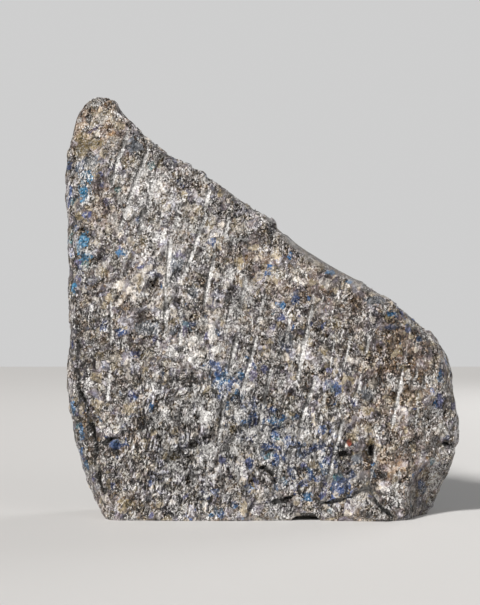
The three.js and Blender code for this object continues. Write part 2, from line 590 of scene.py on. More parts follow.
def break_face():
    heights = np.zeros(len(X))
    rough = np.flatnonzero(BROKEN > 0.3)
    tree = KDTree(len(rough))
    for index in rough:
        tree.insert(PLACE[index], int(index))
    tree.balance()
    for count, size, depth, tilt in CHIP_SIZES:
        lowest = heights[rough].mean() - DEEPEST
        for centre in RANDOM.choice(rough, count):
            if heights[centre] < lowest:
                continue
            radius = size * RANDOM.uniform(0.7, 1.4)
            reach = radius * STRETCH * CORNER
            points = np.array([found[1] for found in tree.find_range(PLACE[centre], reach)])
            take_chip(heights, points, centre, radius, depth, tilt)
    worn = 1 - RIM_WEAR * step(np.abs(FACING[:, 0]), 0.5, 0.85)
    return (heights - np.median(heights[rough])) * worn


chips = break_face() * (EVEN_SHARE + (1 - EVEN_SHARE) * LIVELY)
keep(body.data, "chips", chips)
print("chips from", chips.min().round(1), "to", chips.max().round(1), "mm")

# %% [markdown]
# ## The relief tree
#
# The rest of the relief follows rules, so it is a geometry-nodes tree with named inputs.
# Its parts are small functions that each add a few nodes. Splinters lean the way of the
# chisel's strokes: `drawn_out` squeezes places along that way, and a texture that reads the
# squeezed places comes out stretched. A tool mark drops steeply on its left and climbs
# gently on its right: how deep it is comes from the distance to its line, and the sign of
# that distance tells the side.

# %% Parts of the relief tree
RELIEF_INPUTS = [
    ("Geometry", "NodeSocketGeometry", None),
    ("Tool Marks", "NodeSocketObject", None),
    ("Faint Marks", "NodeSocketObject", None),
    ("Cracks", "NodeSocketObject", None),
    ("Unevenness", "NodeSocketFloat", 3.0 * MM),
    ("Hackle Height", "NodeSocketFloat", 1.8 * MM),
    ("Mark Width", "NodeSocketFloat", 3.6 * MM),
    ("Mark Depth", "NodeSocketFloat", 1.5 * MM),
    ("Crack Width", "NodeSocketFloat", 2.6 * MM),
    ("Crack Depth", "NodeSocketFloat", 4.2 * MM),
    ("Seed", "NodeSocketFloat", 0.0),
    ("Material", "NodeSocketMaterial", None),
]


def kept(tree, name):
    """Reads what was kept on the stone under this name."""
    inputs = {"Name": name}
    return put(tree, "GeometryNodeInputNamedAttribute", inputs, data_type="FLOAT").outputs[0]


def remember(tree, geometry, name, value):
    inputs = {"Geometry": geometry, "Name": name, "Value": value}
    node = put(tree, "GeometryNodeStoreNamedAttribute", inputs, data_type="FLOAT")
    return node.outputs[0]


def drawn_out(tree, place, share):
    """Places measured across, through and along the strokes, the last squeezed."""
    across = vector(tree, "DOT_PRODUCT", place, tuple(ACROSS_TOOL))
    along_tool = vector(tree, "DOT_PRODUCT", place, tuple(TOOL_DIRECTION))
    through = put(tree, "ShaderNodeSeparateXYZ", {0: place}).outputs["Y"]
    squeezed = calc(tree, "MULTIPLY", along_tool, share)
    return put(tree, "ShaderNodeCombineXYZ", (across, through, squeezed)).outputs[0]


def seeded_noise(tree, seed, place, size, detail):
    """Noise from 0 to 1 whose swells are about this size."""
    inputs = {"Vector": place, "W": seed, "Scale": 1 / size, "Detail": detail}
    return put(tree, "ShaderNodeTexNoise", inputs, noise_dimensions="4D").outputs[0]


def signed_distance(tree, place, lines):
    """How far each point is from the nearest line, below zero on the line's left."""
    info = put(tree, "GeometryNodeObjectInfo", {"Object": lines})
    inputs = {0: info.outputs["Geometry"]}
    near = put(tree, "GeometryNodeProximity", inputs, target_element="EDGES")
    away = vector(tree, "SUBTRACT", place, near.outputs["Position"])
    side = calc(tree, "SIGN", vector(tree, "DOT_PRODUCT", away, tuple(ACROSS_TOOL)))
    return calc(tree, "MULTIPLY", near.outputs["Distance"], side)


def groove(tree, distance, width, steepness):
    """0 outside a groove and 1 in its bed. steepness narrows its left side."""
    right = ramp(tree, calc(tree, "DIVIDE", distance, width), 1.0, 0.0)
    narrow = calc(tree, "MULTIPLY", width, steepness)
    left = ramp(tree, calc(tree, "DIVIDE", distance, narrow), -1.0, 0.0)
    return calc(tree, "MULTIPLY", left, right)


print(len(RELIEF_INPUTS), "inputs")

# %% [markdown]
# ## Put the relief tree together
#
# To the chips the tree adds a gentle unevenness and the hackle: rows of short upright
# splinters that a blow leaves, which is noise drawn out along the blow. Then it cuts the
# tool marks and cracks, and moves every point of broken rock along the way it faces. The
# attributes `mark`, `faint`, `crack` and `relief` tell the finish what happened where.

# %% Build the relief tree
SPLINTER_WIDTH = 5 * MM
SPLINTER_SQUEEZE = 0.25  # so they are four times as long as they are wide
SMOOTHEST = 0.15  # how much of the hackle there is where the rock isn't hackled
SWELL = 38 * MM
RAGGEDNESS = 5 * MM  # a groove's edge wanders in steps of this size
STEEP_LEFT = 0.4  # the left side of a tool mark, as a share of the right side


def unbroken_height(tree, given, place):
    """The chips, the hackle and the unevenness, before any line is cut."""
    squeezed = drawn_out(tree, place, SPLINTER_SQUEEZE)
    splinters = seeded_noise(tree, given["Seed"], squeezed, SPLINTER_WIDTH, 3.0)
    splinters = calc(tree, "SUBTRACT", splinters, 0.5)
    hackle = calc(tree, "MULTIPLY", kept(tree, "hackle"), 1 - SMOOTHEST)
    hackle = calc(tree, "ADD", hackle, SMOOTHEST)
    splinters = calc(tree, "MULTIPLY", splinters, calc(tree, "MULTIPLY", hackle, 2.0))
    splinters = calc(tree, "MULTIPLY", splinters, given["Hackle Height"])
    swells = seeded_noise(tree, given["Seed"], place, SWELL, 4.0)
    swells = calc(tree, "SUBTRACT", swells, 0.5)
    swells = calc(tree, "MULTIPLY", swells, given["Unevenness"])
    height = calc(tree, "MULTIPLY", kept(tree, "chips"), MM)
    return calc(tree, "ADD", calc(tree, "ADD", height, splinters), swells)


def cut_lines(tree, given, place, geometry, height):
    """Cuts the lines into the height, and keeps how far off each point is in mm."""
    ragged = seeded_noise(tree, given["Seed"], place, RAGGEDNESS, 3.0)
    ragged = ramp(tree, ragged, 0.3, 0.7, 0.55, 1.4)
    faint_width = calc(tree, "MULTIPLY", given["Mark Width"], 0.7)
    faint_depth = calc(tree, "MULTIPLY", given["Mark Depth"], 0.5)
    for lines, name, width, depth, steepness in (
        ("Tool Marks", "mark", given["Mark Width"], given["Mark Depth"], STEEP_LEFT),
        ("Faint Marks", "faint", faint_width, faint_depth, STEEP_LEFT),
        ("Cracks", "crack", given["Crack Width"], given["Crack Depth"], 1.0),
    ):
        distance = signed_distance(tree, place, given[lines])
        geometry = remember(tree, geometry, name, calc(tree, "DIVIDE", distance, MM))
        bed = groove(tree, distance, calc(tree, "MULTIPLY", width, ragged), steepness)
        height = calc(tree, "SUBTRACT", height, calc(tree, "MULTIPLY", bed, depth))
    return geometry, height


def relief_tree():
    outputs = [("Geometry", "NodeSocketGeometry")]
    tree, given, result = new_group("GeometryNodeTree", "broken face", RELIEF_INPUTS, outputs)
    tree.is_modifier = True
    place = put(tree, "GeometryNodeInputPosition").outputs[0]
    facing = put(tree, "GeometryNodeInputNormal").outputs[0]
    height = unbroken_height(tree, given, place)
    geometry, height = cut_lines(tree, given, place, given["Geometry"], height)
    geometry = remember(tree, geometry, "relief", calc(tree, "DIVIDE", height, MM))
    offset = scaled(tree, facing, calc(tree, "MULTIPLY", height, kept(tree, "broken")))
    moved = put(tree, "GeometryNodeSetPosition", {"Geometry": geometry, "Offset": offset})
    real = put(tree, "GeometryNodeRealizeInstances", {0: moved.outputs[0]})
    inputs = {"Geometry": real.outputs[0], "Material": given["Material"]}
    painted = put(tree, "GeometryNodeSetMaterial", inputs)
    tree.links.new(painted.outputs[0], result.inputs["Geometry"])
    return tree


RELIEF = relief_tree()
print("relief tree:", len(RELIEF.nodes), "nodes")

# %% [markdown]
# ## Crystals of their own colour
#
# Labradorite flashes where a cleavage plane happens to face the light the right way, so
# the broken face shows blue, violet and teal crystals scattered in grey: that flash is a
# painted reflection in their colour. Weathering adds ochre and cream ones. The black ones
# are mostly painted shadow: a row under the overhang above the dark zone, and a line along
# the edge of the left flank. The ones that stand out are placed one by one, in millimetres
# on the near face, and share a few colours.

# %% List the coloured crystals
COLOURS = {
    "cyan": (0.040, 0.28, 0.52),
    "azure": (0.022, 0.140, 0.30),
    "royal": (0.026, 0.075, 0.22),
    "indigo": (0.055, 0.065, 0.17),
    "violet": (0.145, 0.125, 0.21),
    "navy": (0.030, 0.045, 0.095),
    "teal": (0.100, 0.205, 0.21),
    "slate": (0.160, 0.178, 0.205),
    "ochre": (0.25, 0.190, 0.090),
    "straw": (0.42, 0.345, 0.235),
    "cream": (0.60, 0.54, 0.47),
    "chalk": (0.78, 0.75, 0.71),
    "rust": (0.42, 0.07, 0.02),
    "black_and_painted_shadow": (0.020, 0.019, 0.018),
}
# x and z of the middle, and how far it reaches along x and z
CRYSTALS = {
    "cyan": [
        (-170, 330, 7, 4), (-172, 314, 5, 10), (-167, 325, 4, 4), (-171, 266, 5, 9),
        (-170, 251, 6, 6), (-181, 220, 3, 6), (-175, 259, 4, 8),
    ],
    "azure": [
        (-21, 137, 4, 5), (-35, 135, 6, 7), (-34, 107, 4, 4), (42, 22, 5, 5),
        (123, 195, 5, 3), (66, 235, 6, 2), (83, 226, 4, 2), (-135, 254, 5, 4),
        (-173, 83, 2, 8), (-168, 50, 3, 5), (-181, 105, 2, 8), (8, 94, 4, 3),
        (-49, 6, 3, 2), (-24, 121, 3, 3), (170, 135, 3, 6),
    ],
    "royal": [
        (-48, 147, 6, 5), (-42, 140, 4, 5), (-39, 119, 4, 6), (31, 209, 4, 5),
        (71, 124, 4, 5), (75, 32, 8, 8), (61, 51, 4, 5), (154, 30, 5, 4), (14, 84, 8, 5),
        (24, 76, 6, 4), (-45, 27, 4, 4), (-12, 55, 3, 6), (-14, 32, 3, 4),
        (-135, 179, 5, 4), (-25, 97, 3, 4), (-1, 106, 3, 3), (57, 58, 3, 3),
        (-140, 71, 7, 4), (-31, 128, 4, 6), (20, 60, 4, 4), (44, 44, 4, 5), (85, 44, 4, 4),
        (4, 70, 4, 4),
    ],
    "indigo": [
        (-125, 117, 4, 5), (-120, 157, 5, 3), (-56, 27, 4, 4), (-117, 240, 4, 3),
        (-52, 263, 4, 2), (-38, 57, 4, 4), (-13, 54, 4, 4), (170, 112, 4, 8),
        (2, 143, 4, 4), (64, 131, 3, 3), (86, 111, 3, 4),
    ],
    "violet": [
        (-166, 371, 5, 3), (-143, 335, 3, 5), (-80, 251, 5, 4), (-74, 179, 3, 5),
        (-9, 137, 4, 5), (-149, 303, 4, 4), (-160, 376, 4, 4),
    ],
    "teal": [
        (-106, 339, 4, 5), (-139, 315, 3, 3), (-170, 243, 4, 3),
    ],
    "slate": [
        (-122, 358, 7, 9), (-166, 343, 9, 7), (-84, 179, 4, 5), (-67, 215, 5, 6),
        (23, 169, 9, 8), (-109, 181, 12, 7), (-83, 244, 8, 9), (107, 208, 8, 5),
        (98, 119, 6, 6), (89, 57, 6, 5),
    ],
    "navy": [
        (24, 166, 8, 6), (53, 70, 6, 6), (122, 182, 7, 3), (40, 62, 5, 5), (27, 48, 5, 4),
    ],
    "rust": [
        (82, 73, 2, 3),
    ],
    "ochre": [
        (-158, 360, 7, 4), (-176, 354, 4, 6), (-169, 359, 9, 5), (-174, 365, 6, 4),
        (-177, 290, 4, 4), (-23, 245, 5, 7), (69, 186, 6, 5), (-114, 266, 4, 5),
        (58, 160, 5, 4), (103, 73, 4, 4), (-25, 68, 5, 6), (-29, 86, 4, 8),
        (-87, 60, 7, 4), (-51, 281, 6, 5), (-129, 16, 7, 4), (28, 193, 4, 4),
    ],
    "straw": [
        (-136, 377, 4, 4), (13, 253, 5, 6), (10, 237, 6, 3), (99, 87, 5, 5),
        (126, 34, 3, 9), (110, 68, 4, 4), (-171, 105, 3, 6), (-125, 105, 9, 5),
        (-18, 12, 4, 6), (47, 53, 4, 4), (-153, 390, 8, 4), (-163, 380, 5, 5),
        (-117, 225, 5, 9), (-156, 105, 4, 6), (148, 116, 3, 9), (-151, 203, 3, 5),
        (124, 90, 6, 3), (84, 79, 5, 3),
    ],
    "cream": [
        (-155, 386, 6, 6), (-117, 329, 6, 5), (-139, 323, 5, 5), (-137, 307, 4, 4),
        (-110, 293, 5, 4), (-95, 296, 5, 3), (-139, 279, 4, 6), (-130, 290, 4, 4),
        (-102, 281, 4, 4), (-39, 281, 4, 4), (-56, 182, 6, 4), (-75, 166, 8, 4),
        (-58, 159, 9, 3), (-143, 153, 5, 6), (-128, 147, 4, 5), (36, 161, 5, 9),
        (0, 188, 4, 4), (58, 162, 4, 4), (131, 129, 4, 6), (38, 79, 8, 6), (16, 73, 5, 3),
        (92, 23, 8, 6), (-1, 24, 5, 7), (-40, 83, 6, 5), (-30, 106, 4, 5), (-91, 73, 3, 8),
        (-93, 217, 5, 5), (-108, 239, 5, 3), (-114, 234, 4, 4), (-121, 227, 4, 5),
        (-125, 217, 4, 6), (-120, 209, 6, 3), (-137, 224, 4, 4), (-17, 216, 3, 6),
        (-91, 240, 3, 8), (-24, 276, 4, 4), (-72, 298, 5, 4), (-34, 180, 4, 4),
        (3, 156, 4, 4), (82, 152, 4, 4), (105, 129, 4, 5),
    ],
    # the first three lie along a tool mark: white rock, and in part a painted highlight of the
    # mark's lit wall
    "chalk": [
        (-90, 249, 3, 11), (-92, 226, 3, 9), (-93, 197, 3, 12), (-57, 188, 5, 5),
        (-63, 172, 8, 4), (-48, 176, 4, 7), (-44, 160, 5, 5), (-66, 152, 9, 4),
        (-88, 158, 6, 4), (35, 152, 3, 12), (-104, 318, 7, 5), (-112, 332, 5, 5),
        (28, 84, 6, 5), (91, 22, 8, 4),
    ],
    # mostly painted shadow: the first four in a row under an overhang, the next five along the
    # edge of the left flank
    "black_and_painted_shadow": [
        (-86, 131, 9, 2), (-70, 135, 9, 2), (-54, 131, 7, 3), (-45, 122, 3, 6),
        (-160, 62, 2, 13), (-165, 86, 2, 12), (-174, 119, 2, 18), (-155, 37, 4, 8),
        (-176, 161, 2, 14), (-167, 384, 4, 6), (-169, 374, 4, 5),
    ],
}
print(sum(len(places) for places in CRYSTALS.values()), "coloured crystals")

# %% [markdown]
# ## Hills for the crystals
#
# A crystal painted straight onto the points would have a soft, round edge. So its
# attribute holds a smooth hill instead, wider than the crystal, and the finish cuts the
# hill off along the grain, which gives it a crystal's ragged edge. A second attribute
# holds its colour.

# %% Keep the crystals on the stone
HILL_MARGIN = 1.5  # the hill reaches this much past the crystal's own edge


def crystal_hills():
    """The height of the tallest hill at each point, and that crystal's colour."""
    strength = np.zeros(len(X))
    colour = np.tile(COLOURS["slate"], (len(X), 1))
    for name, places in CRYSTALS.items():
        for x, z, reach_x, reach_z in places:
            hill = spot(x, z, reach_x * HILL_MARGIN, reach_z * HILL_MARGIN)
            higher = hill > strength
            strength[higher] = hill[higher]
            colour[higher] = COLOURS[name]
    return strength * NEAR, colour


def keep_colour(mesh, name, values):
    attribute = mesh.attributes.new(name, "FLOAT_COLOR", "POINT")
    rgba = np.column_stack([values, np.ones(len(values))]).astype(np.float32)
    attribute.data.foreach_set("color", rgba.ravel())


crystal_strength, crystal_colour = crystal_hills()
keep(body.data, "crystal", crystal_strength)
keep_colour(body.data, "crystal_colour", crystal_colour)
print(f"coloured: {(crystal_strength > 0).mean():.2f} of the points")

# %% [markdown]
# ## Light and dark ground
#
# Between the crystals the rock changes slowly: bruised and pale where it was dressed
# hardest, dark where fresh dark crystals show. Part of it is painted light and shade: the
# right side and its lower end darker, a painted shadow under the overhang above the dark
# zone and along the edge of the left flank, and painted light on the right of the foot,
# which faces away from the key. This is a soft map, made of wide spots added up. The
# ragged edge of the base is darker as well, painted shade for the shadow it lies in.

# %% Slow changes of tone
# x, z, reach along x and z, lean in degrees, amount
TONE_AND_PAINTED_LIGHT_SPOTS = [
    (-98, 290, 70, 90, -20, 0.10),
    (-120, 318, 40, 40, 0, 0.05),
    (-60, 230, 60, 60, 0, 0.03),
    (-90, 60, 60, 75, 10, -0.05),
    (-85, 105, 50, 40, 20, -0.03),
    (-172, 170, 26, 130, 0, -0.10),
    (-120, 190, 45, 30, 0, -0.02),
    # these two are painted shade, darker on the right and low on the right
    (105, 190, 70, 40, -35, -0.04),
    (110, 35, 60, 45, 0, -0.10),
    (60, 55, 50, 40, 0, -0.04),
    (-40, 160, 60, 30, 20, 0.04),
    (45, 160, 30, 40, 0, 0.04),
    (-155, 105, 30, 40, 0, 0.03),
    (-160, 375, 40, 40, 0, 0.06),
    (-130, 225, 50, 30, 0, 0.03),
    # painted shade, darker on the right
    (110, 150, 90, 90, 0, -0.045),
    # these two are painted shade along the edge of the left flank
    (-163, 105, 12, 40, 8, -0.08),
    (-148, 60, 12, 40, 20, -0.08),
    (-118, 326, 26, 22, 0, 0.04),
    (-40, 274, 26, 20, 0, 0.06),
    (-10, 285, 50, 20, -33, 0.06),
    # painted shade, darker on the right
    (130, 170, 60, 50, -35, -0.08),
    (-150, 70, 40, 70, 0, -0.03),
    (-122, 213, 12, 12, 0, 0.08),
    (-14, 220, 16, 16, 0, 0.08),
    (35, 154, 12, 20, -10, 0.08),
    (-78, 161, 32, 16, 0, 0.10),
    (30, 81, 20, 12, 0, 0.08),
    (-45, 43, 26, 20, 0, 0.06),
    (-139, 90, 20, 20, 0, 0.08),
    # painted shadow under the overhang above the dark zone
    (-76, 126, 26, 12, -8, -0.16),
    (-111, 60, 18, 14, 0, -0.12),
    (-52, 104, 18, 16, 0, -0.10),
    (-130, 34, 14, 12, 0, -0.08),
    (25, 114, 14, 14, 0, -0.06),
    (105, 112, 22, 16, 0, -0.13),
    (82, 58, 20, 16, 0, -0.10),
    (120, 95, 16, 10, 0, 0.05),
    (91, 20, 22, 12, 10, 0.08),
    # painted light on the right of the foot, which faces away from the key
    (168, 60, 34, 60, 0, 0.12),
    (-30, 133, 28, 28, 0, 0.08),
    (-75, 70, 60, 60, 0, -0.08),
    (20, 70, 70, 60, -20, -0.04),
]
# painted shade on the ragged edge of the base, where it is lifted off the floor
BASE_SHADE = 0.12  # how much darker, for each millimetre that the base's edge is lifted

tone = add_up(TONE_AND_PAINTED_LIGHT_SPOTS) * NEAR
tone -= BASE_SHADE * BASE_LIFT * (1 - step(Z, 1.0, 3.5))
keep(body.data, "tone", tone)
print("tone", tone.min().round(2), "to", tone.max().round(2))

# %% [markdown]
# ## Rain and flash
#
# Two more maps of wide spots: the rock is brown where rain stood on it, and cool where it
# broke lately. In some zones more of the crystals lie the right way to flash blue.

# %% Slow changes of warmth and blue
WARM_SPOTS = [
    (-160, 380, 55, 55, 0, 1.9),
    (-150, 295, 50, 50, 0, 1.0),
    (-10, 252, 60, 45, -35, 0.7),
    (60, 210, 60, 40, -30, 0.8),
    (140, 150, 70, 80, 0, 1.25),
    (110, 110, 60, 50, 0, 0.6),
    (130, 50, 60, 60, 0, 1.3),
    (-140, 200, 60, 30, 0, 0.3),
    (-60, 175, 40, 25, 0, 0.3),
    (-90, 320, 60, 40, -30, 0.2),
    (20, 210, 50, 50, 0, 0.4),
    (-150, 20, 60, 40, 0, 0.5),
    (-155, 75, 30, 50, 0, 0.4),
    (-80, 60, 70, 70, 0, -0.2),
    (-30, 120, 50, 40, -50, -0.5),
    (20, 75, 60, 35, -35, -0.4),
    (90, 30, 40, 25, 0, -0.3),
]
# the same, and here the amount is the share of crystals that flash
BLUE_SPOTS = [
    (-178, 300, 22, 70, 0, 0.30),
    (-176, 235, 20, 40, 0, 0.15),
    (-130, 250, 26, 26, 0, 0.13),
    (-132, 175, 30, 36, 0, 0.14),
    (-66, 182, 36, 30, 0, 0.14),
    (-34, 134, 34, 34, 0, 0.52),
    (-12, 105, 36, 32, -45, 0.50),
    (14, 84, 44, 32, -30, 0.64),
    (48, 62, 50, 38, -30, 0.48),
    (72, 34, 44, 36, 0, 0.46),
    (25, 35, 60, 40, 0, 0.12),
    (66, 130, 30, 30, 0, 0.22),
    (32, 196, 36, 36, 0, 0.16),
    (130, 190, 60, 24, -35, 0.22),
    (174, 116, 18, 50, 0, 0.22),
    (150, 30, 40, 30, 0, 0.14),
    (-44, 12, 40, 22, 0, 0.16),
    (-176, 80, 22, 70, 0, 0.20),
    (-130, 90, 40, 50, 0, 0.10),
    (-30, 60, 60, 40, 0, 0.08),
]

for name, spots in {"warmth": WARM_SPOTS, "blue": BLUE_SPOTS}.items():
    values = add_up(spots) * NEAR
    keep(body.data, name, values)
    print(name, values.min().round(2), "to", values.max().round(2))

# %% [markdown]
# ## Lay the relief on
#
# The modifier's inputs are set by the sockets' identifiers before the object is first
# evaluated. The result is turned into a plain mesh, so nothing live is left on the stone,
# and the lines that guided it are removed.


# %% Run the relief tree
def lay_relief(material):
    relief = body.modifiers.new("broken face", "NODES")
    relief.node_group = RELIEF
    values = {
        "Tool Marks": tool_marks,
        "Faint Marks": faint_marks,
        "Cracks": cracks,
        "Seed": SEED,
        "Material": material,
    }
    for item in RELIEF.interface.items_tree:
        if item.name in values and item.in_out == "INPUT":
            relief[item.identifier] = values[item.name]
    stone = new_object("labradorite_freeform", evaluated_mesh(body))
    for helper in (body, tool_marks, faint_marks, cracks):
        bpy.data.objects.remove(helper)
    return stone


rock = bpy.data.materials.new("labradorite rock")
stone = lay_relief(rock)
lift = np.einsum("ij,ij->i", read(stone.data, "co") / MM - PLACE, FACING)
print("relief from", lift.min().round(2), "to", lift.max().round(2), "mm")
print("triangles:", sum(len(p.vertices) - 2 for p in stone.data.polygons))

# %% [markdown]
# ## Grain
#
# Seen close, the rock is a tight crowd of grains, each its own grey. A Voronoi cell is one
# grain: its random number is its tone, a second one its chance of being something special,
# and all three tilt its cleavage plane, which gives `Height`. Noise bends the cells'
# straight borders. `Border` is the distance to the next grain. `Lines` are stripes that
# run their own way in each grain, as the twinning of feldspar does. The group makes one
# size of grain, and every finish of the rock places it with its own values.

# %% The grain group
GRAIN_INPUTS = [
    ("Position", "NodeSocketVector", None),
    ("Size", "NodeSocketFloat", 2 * MM),
    ("Bend", "NodeSocketFloat", 1 * MM),
    ("Tilt", "NodeSocketFloat", 0.5),
    ("Line Width", "NodeSocketFloat", 1 * MM),
]
GRAIN_OUTPUTS = [
    ("Tone", "NodeSocketFloat"),
    ("Chance", "NodeSocketFloat"),
    ("Height", "NodeSocketFloat"),
    ("Border", "NodeSocketFloat"),
    ("Lines", "NodeSocketFloat"),
]
BEND_SCALE = 0.7  # the noise that bends the borders is this fine, next to the grains
LINES_APART = 50.0  # how far along the noise of stripes two grains can be from each other


def around_zero(tree, colour):
    return vector(tree, "SUBTRACT", colour, (0.5, 0.5, 0.5))


def stripes(tree, position, direction, width, start):
    """Noise that only changes along one direction."""
    across = vector(tree, "DOT_PRODUCT", position, vector(tree, "NORMALIZE", direction))
    line = calc(tree, "DIVIDE", across, width)
    line = calc(tree, "ADD", line, calc(tree, "MULTIPLY", start, LINES_APART))
    inputs = {"W": line, "Scale": 1.0}
    return put(tree, "ShaderNodeTexNoise", inputs, noise_dimensions="1D").outputs[0]


def grain_group():
    tree, given, result = new_group("ShaderNodeTree", "rock grain", GRAIN_INPUTS, GRAIN_OUTPUTS)
    position = given["Position"]
    per_size = calc(tree, "DIVIDE", 1.0, given["Size"])
    inputs = {"Vector": position, "Scale": calc(tree, "MULTIPLY", per_size, BEND_SCALE)}
    sway = around_zero(tree, put(tree, "ShaderNodeTexNoise", inputs).outputs["Color"])
    bent = vector(tree, "ADD", position, scaled(tree, sway, given["Bend"]))
    inputs = {"Vector": bent, "Scale": per_size}
    cells = put(tree, "ShaderNodeTexVoronoi", inputs).outputs
    borders = put(tree, "ShaderNodeTexVoronoi", inputs, feature="DISTANCE_TO_EDGE")
    parts = put(tree, "ShaderNodeSeparateColor", {0: cells["Color"]}).outputs
    random = around_zero(tree, cells["Color"])
    from_middle = vector(tree, "SUBTRACT", bent, cells["Position"])
    slope = vector(tree, "DOT_PRODUCT", from_middle, scaled(tree, random, given["Tilt"]))
    lines = stripes(tree, position, random, given["Line Width"], parts["Green"])
    for name, value in {
        "Tone": parts["Red"],
        "Chance": parts["Green"],
        "Height": slope,
        "Border": borders.outputs["Distance"],
        "Lines": lines,
    }.items():
        tree.links.new(value, result.inputs[name])
    return tree


GRAIN = grain_group()
print("grain group:", len(GRAIN.nodes), "nodes")

# %% [markdown]
# ## Tools for the rock's material
#
# One material covers the stone, because it is one piece of rock. It is long, so it is
# built by small functions that all work in the same node tree. These first ones read a
# mask, add and multiply.

# %% Small tools for the material
rock.use_nodes = True
rock.node_tree.nodes.clear()
ROCK = rock.node_tree
HERE = put(ROCK, "ShaderNodeTexCoord").outputs["Object"]


def mask(name):
    return put(ROCK, "ShaderNodeAttribute", attribute_name=name).outputs["Fac"]


def plus(first, *others):
    for other in others:
        first = calc(ROCK, "ADD", first, other)
    return first


def times(first, *others):
    for other in others:
        first = calc(ROCK, "MULTIPLY", first, other)
    return first


def weighted(*parts):
    """The sum of sockets, each less its own middle value and times its weight."""
    shares = []
    for value, middle, weight in parts:
        shares.append(times(calc(ROCK, "SUBTRACT", value, middle), weight))
    return plus(*shares)


print("tools ready for", rock.name)

# %% [markdown]
# ## Patterns for the rock's material
#
# Everything that varies over the rock comes from three patterns: noise, whose size is
# given in metres, the grain group, and places that are drawn out along the strokes. One
# more tool turns a pattern's number into a colour.


# %% Patterns for the material
def noise(size, detail=2.0, roughness=0.5, position=HERE):
    """Noise from 0 to 1 whose largest blobs are about this size."""
    inputs = {"Vector": position, "Scale": 1 / size, "Detail": detail, "Roughness": roughness}
    return put(ROCK, "ShaderNodeTexNoise", inputs).outputs[0]


def grain(position, size, bend, tilt, line_width=1 * MM):
    inputs = {
        "Position": position,
        "Size": size,
        "Bend": bend,
        "Tilt": tilt,
        "Line Width": line_width,
    }
    return put(ROCK, "ShaderNodeGroup", inputs, node_tree=GRAIN).outputs


def coloured(value, stops):
    """A colour ramp: stops are pairs of a place from 0 to 1 and a linear colour."""
    node = put(ROCK, "ShaderNodeValToRGB", {0: value})
    elements = node.color_ramp.elements
    while len(elements) < len(stops):
        elements.new(0.5)
    for element, (at, colour) in zip(elements, stops):
        element.position = at
        element.color = (*colour, 1)
    return node.outputs[0]


def swayed(position, size, amount):
    """The same places, pushed about, so that a pattern drawn out along them bends."""
    inputs = {"Vector": HERE, "Scale": 1 / size}
    push = put(ROCK, "ShaderNodeTexNoise", inputs).outputs["Color"]
    return vector(ROCK, "ADD", position, scaled(ROCK, around_zero(ROCK, push), amount))


LONGISH = drawn_out(ROCK, HERE, 0.8)
SPLINTERED = drawn_out(ROCK, HERE, 0.3)
print("material begun,", len(ROCK.nodes), "nodes")

# %% [markdown]
# ## How light each point is
#
# How light a point of broken rock is, is a sum of many causes. The quick ones change
# within millimetres: the grain, the crystal it belongs to, strokes and specks, clouds up to
# 14 mm wide, splinters where the rock is hackled, and painted shade by height, lighter on
# the ridges and darker in the hollows. Their sum is multiplied by a contrast, which is
# high where the rock is lively, and comes and goes in patches as well, since some crystals
# part cleanly and others shatter. The slow causes are added after that, among them painted
# light and shade.

# %% Add up the causes
GRAINS = grain(LONGISH, 1.05 * MM, 1.0 * MM, 2.6)
SMALL_CRYSTALS = grain(LONGISH, 3.0 * MM, 2.6 * MM, 2.2)
LARGE_CRYSTALS = grain(HERE, 9 * MM, 7 * MM, 0.8, 1.1 * MM)
CLOUDS = noise(14 * MM, 2.0, 0.9, LONGISH)
SPECKS = noise(3.0 * MM, 3.0, 0.95, LONGISH)
SPLINTERS = noise(3 * MM, 2.0, 0.8, SPLINTERED)
STROKES = noise(1.6 * MM, 3.0, 0.85, swayed(drawn_out(ROCK, HERE, 0.42), 20 * MM, 14 * MM))

FINE = weighted(
    (GRAINS["Tone"], 0.5, 0.75),
    (STROKES, 0.5, 2.5),
    (SPECKS, 0.5, 1.9),
    (LARGE_CRYSTALS["Lines"], 0.5, 0.7),
)
shattered = plus(LARGE_CRYSTALS["Chance"], weighted((noise(22 * MM), 0.5, 3.0)))
FINE_AMOUNT = ramp(ROCK, shattered, 0.15, 0.7, 0.38, 1.25)

# Outside the hackle the clouds never get very dark: only thin gaps do.
darkest_cloud = ramp(ROCK, mask("hackle"), 0.0, 1.0, -0.26, -0.6)
cloudiness = calc(ROCK, "MAXIMUM", weighted((CLOUDS, 0.5, 1.8)), darkest_cloud)
splintered = times(ramp(ROCK, SPLINTERS, 0.38, 0.62, -0.5, 0.5), mask("hackle"))
QUICK = weighted(
    (cloudiness, 0.0, 0.95),
    (SMALL_CRYSTALS["Tone"], 0.5, 0.22),
    (LARGE_CRYSTALS["Tone"], 0.5, 0.30),
    # painted shade by height: ridges lighter, hollows darker
    (mask("relief"), 0.0, 0.040),
    (times(FINE, FINE_AMOUNT), 0.0, 0.95),
    (splintered, 0.0, 0.85),
)
SLOW = weighted((noise(30 * MM, 2.0), 0.5, 0.35), (mask("tone"), 0.0, 1.5))
PATCHY = ramp(ROCK, noise(9 * MM, 2.0), 0.36, 0.64, 0.55, 1.45)
CONTRAST = times(PATCHY, mask("lively"))
LIGHTNESS = plus(times(QUICK, CONTRAST), SLOW, 0.5)
print("causes added up,", len(ROCK.nodes), "nodes")

# %% [markdown]
# ## Greys of the broken rock
#
# A sum like that gathers round its middle, as a bell curve does. So the greys are written
# as a bell curve too, by their middle and spread as the eye sees them, and a short formula
# turns each into a linear colour. The dark ones are a little warm and the light ones
# neutral, because dirt is brown and crushed feldspar is white.

